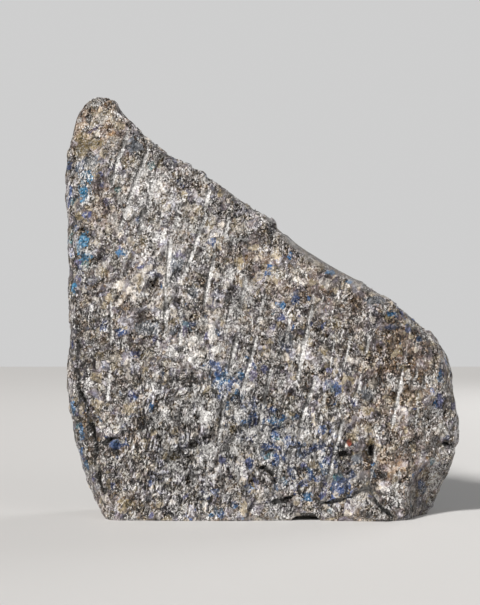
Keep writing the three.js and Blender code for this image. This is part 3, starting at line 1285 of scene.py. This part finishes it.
# %% Turn lightness into greys
MIDDLE_GREY = 0.394  # as the eye sees it, 0 to 1
DARKER, LIGHTER = 0.105, 0.13  # per bell-curve step below and above the middle
DARKEST_GREY = 0.09
TONE_SPREAD = 0.155  # the same step, in units of the sum above
STEPS = 3  # how many of them there are to each side
DARK_TINT = np.array((1.17, 0.98, 0.86))
LIGHT_TINT = np.array((1.00, 0.98, 0.98))


def linear(seen):
    """The linear value of a grey as the eye sees it."""
    return ((seen + 0.055) / 1.055) ** 2.4


def grey_stops():
    stops = []
    for steps in range(-STEPS, STEPS + 1):
        seen = MIDDLE_GREY + steps * (DARKER if steps < 0 else LIGHTER)
        share = (steps + STEPS) / (2 * STEPS)
        tint = DARK_TINT + (LIGHT_TINT - DARK_TINT) * share
        colour = linear(max(seen, DARKEST_GREY)) * tint
        stops.append((0.5 + steps * TONE_SPREAD, tuple(colour)))
    return stops


GREY_ROCK = coloured(LIGHTNESS, grey_stops())
print("greys:", [round(float(colour[1]), 3) for at, colour in grey_stops()])

# %% [markdown]
# ## Tints of the broken rock
#
# The greys are tinted crystal by crystal: lavender, blue-grey, tan or olive, all very
# faint, and a few small crystals a little more. Warm places are those where rain stood.
# Each tint is a ramp of colours near 1 that the grey is multiplied by.

# %% Tint the greys
TINTS = [
    (0.00, (0.84, 0.93, 1.24)),
    (0.22, (1.01, 0.945, 1.09)),
    (0.42, (0.98, 1.00, 1.03)),
    (0.60, (1.05, 0.99, 0.93)),
    (0.80, (1.20, 0.99, 0.78)),
    (1.00, (1.05, 1.03, 0.84)),
]
# by chance: tan, olive, most of them plain, lavender, blue
SMALL_CRYSTAL_TINTS = [
    (0.00, (1.22, 1.02, 0.72)),
    (0.08, (1.16, 1.04, 0.78)),
    (0.14, (1.04, 1.03, 0.92)),
    (0.20, (1.00, 1.00, 1.00)),
    (0.84, (1.00, 1.00, 1.00)),
    (0.91, (1.03, 0.96, 1.10)),
    (1.00, (0.90, 0.96, 1.16)),
]
WARM_TINTS = [
    (0.00, (0.90, 0.975, 1.10)),
    (0.33, (1.01, 0.980, 0.97)),
    (0.87, (1.20, 0.980, 0.76)),
    (1.00, (1.36, 0.980, 0.60)),
]
TINT_AMOUNT = ramp(ROCK, LIGHTNESS, 0.3, 0.9, 1.0, 0.4)  # whites take little of any tint


def tinted(colour):
    blurred = weighted((LARGE_CRYSTALS["Chance"], 0.5, 1.0), (noise(7 * MM, 3.0), 0.5, 1.3))
    warmth = plus(mask("warmth"), weighted((noise(26 * MM, 3.0), 0.5, 1.4)))
    for tint in (
        coloured(plus(blurred, 0.5), TINTS),
        coloured(SMALL_CRYSTALS["Chance"], SMALL_CRYSTAL_TINTS),
        coloured(ramp(ROCK, warmth, -1.0, 1.6), WARM_TINTS),
    ):
        colour = blend(ROCK, TINT_AMOUNT, colour, tint, "MULTIPLY")
    return colour


TINTED_ROCK = tinted(GREY_ROCK)
print(len(TINTS) + len(SMALL_CRYSTAL_TINTS) + len(WARM_TINTS), "tints")

# %% [markdown]
# ## Crystals in the broken rock
#
# Some crystals have a colour of their own. Most are there by chance: cells of 6 mm, of
# which as many flash as the map of blue says, and others have weathered to ochre or cream.
# The listed ones are the hills from before, cut off along the grain: part of the
# grains inside a hill stay grey, which keeps the colour in the rock instead of on it. A
# crystal gets the light and dark of the grey round it, and crushed white edges cover it.

# %% Colour the crystals
# the colours of the labradorite flash, a painted reflection
FLASHES = [
    (0.00, (0.022, 0.170, 0.39)),
    (0.20, (0.026, 0.095, 0.28)),
    (0.44, (0.055, 0.078, 0.21)),
    (0.60, (0.140, 0.125, 0.24)),
    (0.74, (0.060, 0.100, 0.18)),
    (0.88, (0.160, 0.230, 0.32)),
    (1.00, (0.070, 0.200, 0.23)),
]
WEATHERED = [
    (0.00, (0.26, 0.205, 0.115)),
    (0.30, (0.42, 0.345, 0.235)),
    (0.65, (0.58, 0.52, 0.445)),
    (1.00, (0.50, 0.47, 0.45)),
]
FLASH_ANYWHERE = 0.012  # the share of crystals that flash outside the blue zones,
WEATHERED_SHARE = 0.15  # and the share that has weathered,
WEATHERED_WARMTH = 0.03  # with this much more per unit of warmth
UNCOVERED = ramp(ROCK, LIGHTNESS, 1.15, 0.88, 0.3, 1.0)  # less where the rock is white


def shaded(colour):
    """A crystal's own colour under the same light and dark as the grey round it."""
    return scaled(ROCK, colour, ramp(ROCK, LIGHTNESS, 0.1, 1.0, 0.5, 1.4))


def with_chance_crystals(colour):
    cells = grain(LONGISH, 6 * MM, 5 * MM, 0.5)
    uneven = ramp(ROCK, noise(6 * MM, 2.0), 0.38, 0.50, 0.2, 0.9)
    lit = calc(ROCK, "LESS_THAN", cells["Chance"], plus(mask("blue"), FLASH_ANYWHERE))
    dull_share = plus(times(mask("warmth"), WEATHERED_WARMTH), WEATHERED_SHARE)
    dull = calc(ROCK, "GREATER_THAN", plus(cells["Chance"], dull_share), 1.0)
    for chosen, stops in ((lit, FLASHES), (dull, WEATHERED)):
        own = shaded(coloured(cells["Tone"], stops))
        colour = blend(ROCK, times(chosen, uneven, UNCOVERED), colour, own)
    return colour


def with_placed_crystals(colour):
    hill = mask("crystal")
    ragged = weighted(
        (GRAINS["Chance"], 0.5, 0.18),
        (SMALL_CRYSTALS["Chance"], 0.5, 0.45),
        (noise(4 * MM, 3.0, 0.7), 0.5, 1.0),
    )
    inside = times(ramp(ROCK, plus(hill, ragged), 0.32, 0.42), ramp(ROCK, hill, 0.0, 0.12))
    own = put(ROCK, "ShaderNodeAttribute", attribute_name="crystal_colour").outputs["Color"]
    return blend(ROCK, times(inside, 0.85, UNCOVERED), colour, shaded(own))


print(len(FLASHES), "flash colours,", len(WEATHERED), "weathered ones")

# %% [markdown]
# ## Splinters and flecks
#
# Hackled rock shows white splinters with black gaps between them, the black a painted
# shade in the gaps. Everywhere, grains that are cut clean across flash as white flecks, and
# others sink into black. The black is painted shade in small pits. The white is crushed
# feldspar and painted glints, over grains that still differ a little.

# %% Splinters and flecks
# the near black of painted shade: in gaps, pits, crevices, cracks and on the left side of the
# tool marks
PAINTED_SHADE_BLACK = (0.016, 0.0145, 0.013, 1)


def crushed_white_and_highlight(dark=0.30, light=0.88):
    """White rock flour over grains that still differ. The same white serves as the painted
    highlight on the lit side of the tool marks and as painted glints.
    """
    uneven = weighted((GRAINS["Tone"], 0.5, 0.9), (STROKES, 0.5, 1.6))
    darkest = (dark, dark * 0.96, dark * 0.92)
    lightest = (light, light * 0.98, light * 0.96)
    return coloured(ramp(ROCK, uneven, -0.6, 0.5), [(0, darkest), (1, lightest)])


def splintery_with_painted_shade(colour):
    # painted shade in the gaps between splinters
    gap = times(ramp(ROCK, SPLINTERS, 0.44, 0.39), mask("hackle"))
    ridge = times(ramp(ROCK, SPLINTERS, 0.59, 0.63), mask("hackle"))
    colour = blend(ROCK, times(gap, 0.95), colour, PAINTED_SHADE_BLACK)
    return blend(ROCK, times(ridge, 0.95), colour, crushed_white_and_highlight(0.30, 0.92))


def flecked_with_painted_glints_and_shade(colour):
    """Small flecks, crowded in places and where the contrast is high: white ones are crushed
    feldspar and painted glints, black ones painted shade in pits.
    """
    flecks = noise(1.7 * MM, 3.0, 0.8, swayed(drawn_out(ROCK, HERE, 0.5), 20 * MM, 14 * MM))
    crowd = weighted((noise(20 * MM, 2.0), 0.5, 0.5), (CONTRAST, 1.0, 0.11))
    # painted shade in small pits
    black_and_painted_shadow = ramp(ROCK, calc(ROCK, "SUBTRACT", flecks, crowd), 0.40, 0.365, 0.0, 0.75)
    # painted glints, with crushed feldspar
    white_and_highlight = ramp(ROCK, plus(flecks, crowd), 0.60, 0.63, 0.0, 0.9)
    colour = blend(ROCK, black_and_painted_shadow, colour, PAINTED_SHADE_BLACK)
    return blend(ROCK, white_and_highlight, colour, crushed_white_and_highlight(0.45, 0.88))


print("dirt is", PAINTED_SHADE_BLACK[:3])

# %% [markdown]
# ## Bruises and strokes
#
# Where the chisel landed the feldspar is crushed. It lies in white blotches, most of all
# along the right side of the tool marks. The stroke itself is a broken white line, crushed
# rock and in part a painted highlight of its lit right wall, and its left side carries a
# painted shadow.


# %% Bruises and strokes
def band(distance, start, end, soft):
    """1 between start and end, in millimetres from a line, fading over soft."""
    rise = ramp(ROCK, distance, start - soft, start)
    return times(rise, ramp(ROCK, distance, end + soft, end))


def bruised(colour):
    """Crushed rock: ragged blotches, most of them along the right side of the marks."""
    sway = weighted((noise(6 * MM, 4.0, 0.8), 0.5, 5.0))
    crushed = plus(noise(6 * MM, 5.0, 0.85), mask("tone"), times(FINE, 0.10))
    for name, strength in (("mark", 0.17), ("faint", 0.12)):
        nearness = band(plus(mask(name), sway), 0.3, 1.6, 2.4)
        crushed = plus(crushed, times(nearness, strength))
    return blend(ROCK, ramp(ROCK, crushed, 0.60, 0.67, 0.0, 0.9), colour, crushed_white_and_highlight())


def struck_with_painted_light(colour):
    """The strokes: a white line of uneven width, in part a painted highlight, with a painted
    shadow on its left.
    """
    sway = weighted((noise(9 * MM, 4.0, 0.8), 0.5, 2.4))
    there = noise(14 * MM, 3.0, 0.7)
    speckled = ramp(ROCK, noise(2.6 * MM, 3.0, 0.9), 0.38, 0.52, 0.45, 1.0)
    width = ramp(ROCK, noise(16 * MM, 3.0, 0.6), 0.35, 0.65, 0.8, 2.4)
    white_and_highlight = crushed_white_and_highlight(0.36, 0.90)
    for name, rarity in (("mark", 0.24), ("faint", 0.42)):
        distance = plus(mask(name), sway)
        shown = times(ramp(ROCK, there, rarity, rarity + 0.10), speckled)
        # painted shadow of the groove's left wall
        dark = times(band(distance, -2.1, -0.6, 0.7), shown, 0.65)
        widened = calc(ROCK, "DIVIDE", distance, width)
        # painted highlight of the groove's lit right wall, over crushed white
        light = times(band(widened, 0.1, 1.0, 0.5), shown, 0.92)
        colour = blend(ROCK, dark, colour, PAINTED_SHADE_BLACK)
        colour = blend(ROCK, light, colour, white_and_highlight)
    return colour


print("bruises and strokes ready")

# %% [markdown]
# ## Crevices and cracks
#
# Thin crevices part the large crystals here and there, and cracks run under the loose
# plates. Both are painted nearly black, as painted shade for the shadow in them. After them
# the broken rock is put together, one layer over the other: what lies on top of a crystal,
# such as a bruise, comes after it.


# %% Put the broken rock together
def creviced_with_painted_shade(colour):
    """Painted shade in thin gaps: between large crystals, and where a noise passes its middle.
    """
    level = calc(ROCK, "ABSOLUTE", weighted((noise(11 * MM, 3.0, 0.6, LONGISH), 0.5, 1.0)))
    level = calc(ROCK, "MINIMUM", level, times(LARGE_CRYSTALS["Border"], 0.4))
    gap = ramp(ROCK, level, 0.018, 0.004)
    open_here = ramp(ROCK, noise(15 * MM), 0.45, 0.6)
    return blend(ROCK, times(gap, open_here, 0.8), colour, PAINTED_SHADE_BLACK)


def cracked_with_painted_shade(colour):
    width = ramp(ROCK, noise(9 * MM, 3.0, 0.7), 0.35, 0.65, 0.6, 2.1)
    # painted shadow along the cracks, over their real grooves
    dark = band(calc(ROCK, "DIVIDE", mask("crack"), width), -0.9, 0.9, 0.7)
    return blend(ROCK, times(dark, 0.95), colour, PAINTED_SHADE_BLACK)


BROKEN_COLOUR = TINTED_ROCK
for layer in (
    with_chance_crystals,
    splintery_with_painted_shade,
    with_placed_crystals,
    flecked_with_painted_glints_and_shade,
    bruised,
    struck_with_painted_light,
    creviced_with_painted_shade,
    cracked_with_painted_shade,
):
    BROKEN_COLOUR = layer(BROKEN_COLOUR)
print("broken rock done,", len(ROCK.nodes), "nodes")

# %% [markdown]
# ## Rock under the grinder and the saw
#
# The long slope was ground: the same rock, rubbed even, with streaks along the slope.
# The base was sawn: pale with rock flour, crossed by the blade's faint lines.

# %% Ground slope and sawn base
SLOPE_ANGLE = 0.66  # radians below level, towards +X
SLOPE_FINENESS = (60, 900, 1100)  # streaks per metre along, through and across the slope
BLADE_FINENESS = (700, 30, 1)
RUBBED_GREYS = (0.085, 0.080, 0.074, 1), (0.17, 0.162, 0.15, 1)
SAWN_GREYS = (0.24, 0.232, 0.22, 1), (0.42, 0.41, 0.395, 1)


def streaks(angle, fineness):
    """Noise drawn out along a direction in the XZ plane."""
    inputs = {"Vector": HERE, "Rotation": (0, -angle, 0), "Scale": fineness}
    turned = put(ROCK, "ShaderNodeMapping", inputs).outputs[0]
    return put(ROCK, "ShaderNodeTexNoise", {"Vector": turned, "Scale": 1.0}).outputs[0]


def worked(colour, greys, pattern, low, high):
    """Rock rubbed towards an even grey, with streaks of a paler one."""
    even, pale = greys
    colour = blend(ROCK, 0.6, colour, even)
    return blend(ROCK, ramp(ROCK, pattern, low, high, 0.0, 0.3), colour, pale)


SLOPE_STREAKS = streaks(SLOPE_ANGLE, SLOPE_FINENESS)
GROUND_COLOUR = worked(BROKEN_COLOUR, RUBBED_GREYS, SLOPE_STREAKS, 0.35, 0.65)
BLADE_LINES = streaks(0.0, BLADE_FINENESS)
SAWN_COLOUR = worked(BROKEN_COLOUR, SAWN_GREYS, BLADE_LINES, 0.4, 0.6)
print("ground and sawn rock done,", len(ROCK.nodes), "nodes")

# %% [markdown]
# ## The polished face
#
# On the polished face the crystals are cut flat, up to a few centimetres across. Most are
# nearly black-green. Others turn the light back in blue, teal or gold, crossed by the fine
# parallel lines of their twinning. The colour is painted on, not reflected, so that it
# stays in its place for anyone who uses the stone in another scene.

# %% Polish the far face
FLASH_COLOURS = [
    (0.0, (0.015, 0.035, 0.22)),
    (0.35, (0.012, 0.11, 0.44)),
    (0.6, (0.015, 0.27, 0.46)),
    (0.8, (0.06, 0.30, 0.25)),
    (1.0, (0.42, 0.31, 0.06)),
]
DARK_COLOURS = [
    (0.15, (0.005, 0.007, 0.008)),
    (0.5, (0.020, 0.024, 0.025)),
    (0.9, (0.085, 0.090, 0.084)),
]
TWINNING = 0.8 * MM  # the width of the fine parallel lines
SMALL_LIT = 0.17  # the share of the small crystals that are lit
LARGE_LIT = 0.38  # and that of the large ones


def flash(crystals, share):
    """Where this share of the crystals is lit: striped by twinning, dark round the rim."""
    lit = ramp(ROCK, crystals["Chance"], share + 0.02, share - 0.02)
    striped = ramp(ROCK, crystals["Lines"], 0.36, 0.58, 0.35, 0.9)
    inside = ramp(ROCK, crystals["Border"], 0.01, 0.07)
    cloudy = ramp(ROCK, noise(24 * MM, 5.0, 0.7), 0.45, 0.53)
    return times(lit, striped, inside, cloudy)


def polished_rock():
    """Crystals cut flat: the large ones over the small ones, each lit or dark as a whole."""
    large = grain(HERE, 19 * MM, 13 * MM, 0.5, TWINNING)
    small = grain(HERE, 6 * MM, 5 * MM, 0.5, TWINNING)
    depth = weighted(
        (large["Tone"], 0.5, 0.45),
        (small["Tone"], 0.5, 0.35),
        (small["Lines"], 0.5, 0.5),
        (noise(4 * MM, 4.0, 0.8), 0.5, 1.4),
    )
    colour = coloured(plus(depth, 0.5), DARK_COLOURS)
    uneven = ramp(ROCK, noise(11 * MM, 3.0), 0.3, 0.7, 0.55, 1.5)
    for crystals, share in ((small, SMALL_LIT), (large, LARGE_LIT)):
        own = scaled(ROCK, coloured(crystals["Tone"], FLASH_COLOURS), uneven)
        colour = blend(ROCK, flash(crystals, share), colour, own)
    return colour


POLISHED_COLOUR = polished_rock()
print("polished rock done,", len(ROCK.nodes), "nodes")

# %% [markdown]
# ## Put the rock together
#
# The masks choose between the four finishes. Roughness and the finest relief follow them:
# every grain of the broken rock shines a little differently and leans its own way, the
# ground slope is satin, and the polished face is like glass. The finest relief is a bump,
# because grains of a millimetre would need millions of faces. Its height is in metres.

# %% Finish the rock material
SATIN, GLASSY = 0.42, 0.09  # the roughness of the ground slope and of the polished face
STREAK_HEIGHT = 0.1 * MM
FELDSPAR_IOR = 1.56

GROUND_MASK, POLISHED_MASK, SAWN_MASK = mask("ground"), mask("polished"), mask("sawn")


def number_blend(factor, a, b):
    """Mixes two numbers, which are inputs 2 and 3 of a Mix node."""
    return put(ROCK, "ShaderNodeMix", {0: factor, 2: a, 3: b}).outputs[0]


def rock_colour():
    colour = blend(ROCK, GROUND_MASK, BROKEN_COLOUR, GROUND_COLOUR)
    colour = blend(ROCK, POLISHED_MASK, colour, POLISHED_COLOUR)
    return blend(ROCK, SAWN_MASK, colour, SAWN_COLOUR)


def rock_roughness():
    broken = ramp(ROCK, SMALL_CRYSTALS["Chance"], 0.0, 1.0, 0.18, 0.65)
    return number_blend(POLISHED_MASK, number_blend(GROUND_MASK, broken, SATIN), GLASSY)


def finest_relief():
    fine = plus(GRAINS["Height"], SMALL_CRYSTALS["Height"], weighted((STROKES, 0.5, 1.6 * MM)))
    coarse = plus(LARGE_CRYSTALS["Height"], weighted((CLOUDS, 0.5, 3.5 * MM)))
    broken = times(plus(times(fine, FINE_AMOUNT), coarse), mask("lively"), mask("broken"))
    return plus(broken, times(SLOPE_STREAKS, GROUND_MASK, STREAK_HEIGHT))


inputs = {"Height": finest_relief(), "Distance": 1.0, "Strength": 1.0}
bump = put(ROCK, "ShaderNodeBump", inputs)
inputs = {
    "Base Color": rock_colour(),
    "Roughness": rock_roughness(),
    "Normal": bump.outputs[0],
    "IOR": FELDSPAR_IOR,
}
surface = put(ROCK, "ShaderNodeBsdfPrincipled", inputs)
put(ROCK, "ShaderNodeOutputMaterial", {0: surface.outputs[0]})
print("rock material:", len(ROCK.nodes), "nodes")

# %% [markdown]
# ## A map for baked colours
#
# A stone this rough would be cut into thousands of scraps by an automatic unwrap. Its
# smooth body has only a few sides, so the map is laid out from the body: the near face
# largest, then the far face, the base, and the rim. A long rim wouldn't fit in one piece,
# so it is measured along its outline and laid down in three strips.

# %% Measure the rim
OUTLINE_MIDDLE = (-15.0, 150.0)  # mm: the whole outline can be seen from here
DIRECTIONS = 180  # in which the outline is measured


def rim_length():
    """For each point, how far round the outline it is, and the whole outline, in mm."""
    dx, dz = X - OUTLINE_MIDDLE[0], Z - OUTLINE_MIDDLE[1]
    turn, away = np.arctan2(dz, dx), np.hypot(dx, dz)
    borders = np.linspace(-np.pi, np.pi, DIRECTIONS + 1)
    which = np.digitize(turn, borders) - 1
    reach = np.zeros(DIRECTIONS)
    for i in range(DIRECTIONS):
        reach[i] = away[which == i].max(initial=0)
    middles = (borders[:-1] + borders[1:]) / 2
    corners = np.column_stack([reach * np.cos(middles), reach * np.sin(middles)])
    steps = np.hypot(*np.diff(np.vstack([corners, corners[:1]]), axis=0).T)
    ends = np.r_[0, np.cumsum(steps)]
    return np.interp(turn, np.r_[middles, middles[0] + 2 * np.pi], ends), ends[-1]


ROUND_IT, WHOLE_RIM = rim_length()
print("the rim is", round(WHOLE_RIM), "mm long")

# %% Lay out the map
MAP_SQUARES = 1024  # the map is this many squares wide
# axes of the stone, where they begin in mm, squares per mm, and the place in the map
NEAR_MAP = ([0, 2], (-195, 0), (1.62, 1.62), (0.0, 0.0))
FAR_MAP = ([0, 2], (-195, 0), (-1.0, 1.0), (0.995, 0.0))
BASE_MAP = ([0, 1], (-195, -60), (0.8, 0.8), (0.63, 0.47))
RIM_START = -55  # mm, the Y at which the strips begin
RIM_SCALE = 1.15 / MAP_SQUARES
RIM_CORNER = (0.01, 0.66)
STRIPS = 3
STRIP_PITCH = 0.115  # map widths from one strip to the next


def face_values(mesh, values):
    """The mean of the points' values on each face, and each corner's face and point."""
    counts = np.zeros(len(mesh.polygons), np.int32)
    mesh.polygons.foreach_get("loop_total", counts)
    face_of = np.repeat(np.arange(len(counts)), counts)
    point_of = np.zeros(len(mesh.loops), np.int32)
    mesh.loops.foreach_get("vertex_index", point_of)
    means = [np.bincount(face_of, column[point_of]) / counts for column in values.T]
    return means, face_of, point_of


def flat_map(places, axes, start, scale, corner):
    """The stone as seen along one axis: its other two become those of the map."""
    return corner + (places[:, axes] - start) * scale / MAP_SQUARES


def rim_map(y, travelled, strip):
    """The strips, one above the other. A face across the outline's end stays whole."""
    start = strip * WHOLE_RIM / STRIPS
    half = WHOLE_RIM / 2
    travelled = np.where(travelled - start > half, travelled - WHOLE_RIM, travelled)
    travelled = np.where(start - travelled > half, travelled + WHOLE_RIM, travelled)
    across = RIM_CORNER[0] + (travelled - start) * RIM_SCALE
    up = RIM_CORNER[1] + strip * STRIP_PITCH + (y - RIM_START) * RIM_SCALE
    return np.column_stack([across, up])


def lay_out_map(mesh):
    values = np.column_stack([FACING[:, 1:], Z, ROUND_IT])
    (away, up, height, travelled), face_of, point_of = face_values(mesh, values)
    near, far = away < -0.5, away > 0.5
    under = ~near & ~far & (up < -0.6) & (height < 4)
    rim = ~(near | far | under)
    strip = np.minimum((travelled / WHOLE_RIM * STRIPS).astype(int), STRIPS - 1)
    places, spots = PLACE[point_of], np.zeros((len(point_of), 2))
    for chosen, layout in ((near, NEAR_MAP), (far, FAR_MAP), (under, BASE_MAP)):
        corners = chosen[face_of]
        spots[corners] = flat_map(places[corners], *layout)
    corners = rim[face_of]
    round_it = ROUND_IT[point_of][corners]
    spots[corners] = rim_map(places[corners, 1], round_it, strip[face_of][corners])
    layer = mesh.uv_layers.new(name="OFBake")
    layer.uv.foreach_set("vector", spots.astype(np.float32).ravel())
    print("map:", near.sum(), far.sum(), rim.sum(), under.sum(), "faces; up to", spots.max(0))


lay_out_map(stone.data)

# %% [markdown]
# ## Put the stone in the frame
#
# The stone is smooth-shaded: its facets are modelled, and the shading only has to be
# continuous from one small square to the next.

# %% Hand the stone to the frame
for polygon in stone.data.polygons:
    polygon.use_smooth = True
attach(stone, "root")
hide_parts("labradorite_stone")
print("stone rides on root")

# %% [markdown]
# ## Floor
#
# The stone stands on a wide pale floor, so wide that its edge is only a line far behind.

# %% Lay the floor
FLOOR_REACH = 6.0  # metres from the stone to each side
FLOOR_COLOUR = (0.62, 0.61, 0.60, 1)
FLOOR_ROUGHNESS = 0.6


def floor():
    far = FLOOR_REACH
    mesh = bpy.data.meshes.new("floor")
    corners = [(-far, -far, 0), (far, -far, 0), (far, far, 0), (-far, far, 0)]
    mesh.from_pydata(corners, [], [(0, 1, 2, 3)])
    plane = new_object("floor", mesh)
    material = bpy.data.materials.new("pale floor")
    material.use_nodes = True
    shader = material.node_tree.nodes["Principled BSDF"]
    shader.inputs["Base Color"].default_value = FLOOR_COLOUR
    shader.inputs["Roughness"].default_value = FLOOR_ROUGHNESS
    mesh.materials.append(material)


floor()
print("floor laid,", 2 * FLOOR_REACH, "m wide")

# %% [markdown]
# ## Light
#
# The key is a soft sun from the upper left, well in front and far enough round that the
# facets throw small shadows. A sun lights the whole floor evenly, which a lamp near the
# stone wouldn't. A weaker lamp on the right fills the shadows, and a lamp behind the stone
# shows the polished face to whoever walks round it. The surroundings are dim, which keeps
# the gaps in the rock dark, while the camera sees them as a paler backdrop.

# %% Lamps and surroundings
STONE_MIDDLE = Vector((0, 0, 0.2))
SURROUND_STRENGTH = 0.13
BACKDROP_STRENGTH = 0.62


def place_light(light, place, target):
    holder = new_object(light.name, light)
    holder.location = place
    holder.rotation_euler = (target - Vector(place)).to_track_quat("-Z", "Y").to_euler()


def lamp(name, place, size, power):
    light = bpy.data.lights.new(name, "AREA")
    light.shape = "DISK"
    light.size = size
    light.energy = power
    place_light(light, place, STONE_MIDDLE)


def sunlight(name, place, width, strength, colour):
    """A lamp so far off that only its direction counts. width is in degrees."""
    light = bpy.data.lights.new(name, "SUN")
    light.angle = np.radians(width)
    light.energy = strength
    light.color = colour
    place_light(light, place, Vector((0, 0, 0)))


def surroundings():
    """A soft grey light from all sides, in front of a backdrop that looks paler."""
    world = bpy.data.worlds.new("surroundings")
    world.use_nodes = True
    tree = world.node_tree
    tree.nodes.clear()
    inputs = {"Color": (1, 1, 1, 1), "Strength": SURROUND_STRENGTH}
    light = put(tree, "ShaderNodeBackground", inputs)
    inputs = {"Color": (1, 1, 1, 1), "Strength": BACKDROP_STRENGTH}
    backdrop = put(tree, "ShaderNodeBackground", inputs)
    seen = put(tree, "ShaderNodeLightPath").outputs["Is Camera Ray"]
    inputs = {0: seen, 1: light.outputs[0], 2: backdrop.outputs[0]}
    mixed = put(tree, "ShaderNodeMixShader", inputs)
    put(tree, "ShaderNodeOutputWorld", {0: mixed.outputs[0]})
    return world


sunlight("key", (-2.0, -2.5, 2.2), width=7.5, strength=4.9, colour=(1.0, 0.985, 0.965))
lamp("fill", (1.8, -2.0, 1.0), size=1.6, power=14)
lamp("rear", (2.2, 2.0, 1.5), size=1.8, power=34)
bpy.context.scene.world = surroundings()
bpy.context.scene.view_settings.view_transform = "Standard"
print("lights:", [light.name for light in bpy.data.lights])

# %% [markdown]
# ## Camera
#
# The camera looks level along +Y at the broken face from 1.37 m, a little left of the
# middle and at 177 mm height. A small upward shift of the frame keeps the stone's sides
# upright while leaving room under it.

# %% Camera
IMAGE_HEIGHT = 605  # pixels, the longer side
FOCAL_PIXELS = 1400
SENSOR = 36.0  # mm
HORIZON_BELOW_MIDDLE = 30.5  # pixels
EYE = (-21.5 * MM, -1367.4 * MM, 177 * MM)

camera = new_object("camera", bpy.data.cameras.new("camera"))
camera.data.sensor_width = SENSOR
camera.data.lens = FOCAL_PIXELS / IMAGE_HEIGHT * SENSOR
camera.data.shift_y = HORIZON_BELOW_MIDDLE / IMAGE_HEIGHT
camera.location = EYE
camera.rotation_euler = (np.pi / 2, 0, 0)  # level, towards +Y
bpy.context.scene.camera = camera
print("lens", round(camera.data.lens, 1), "mm")
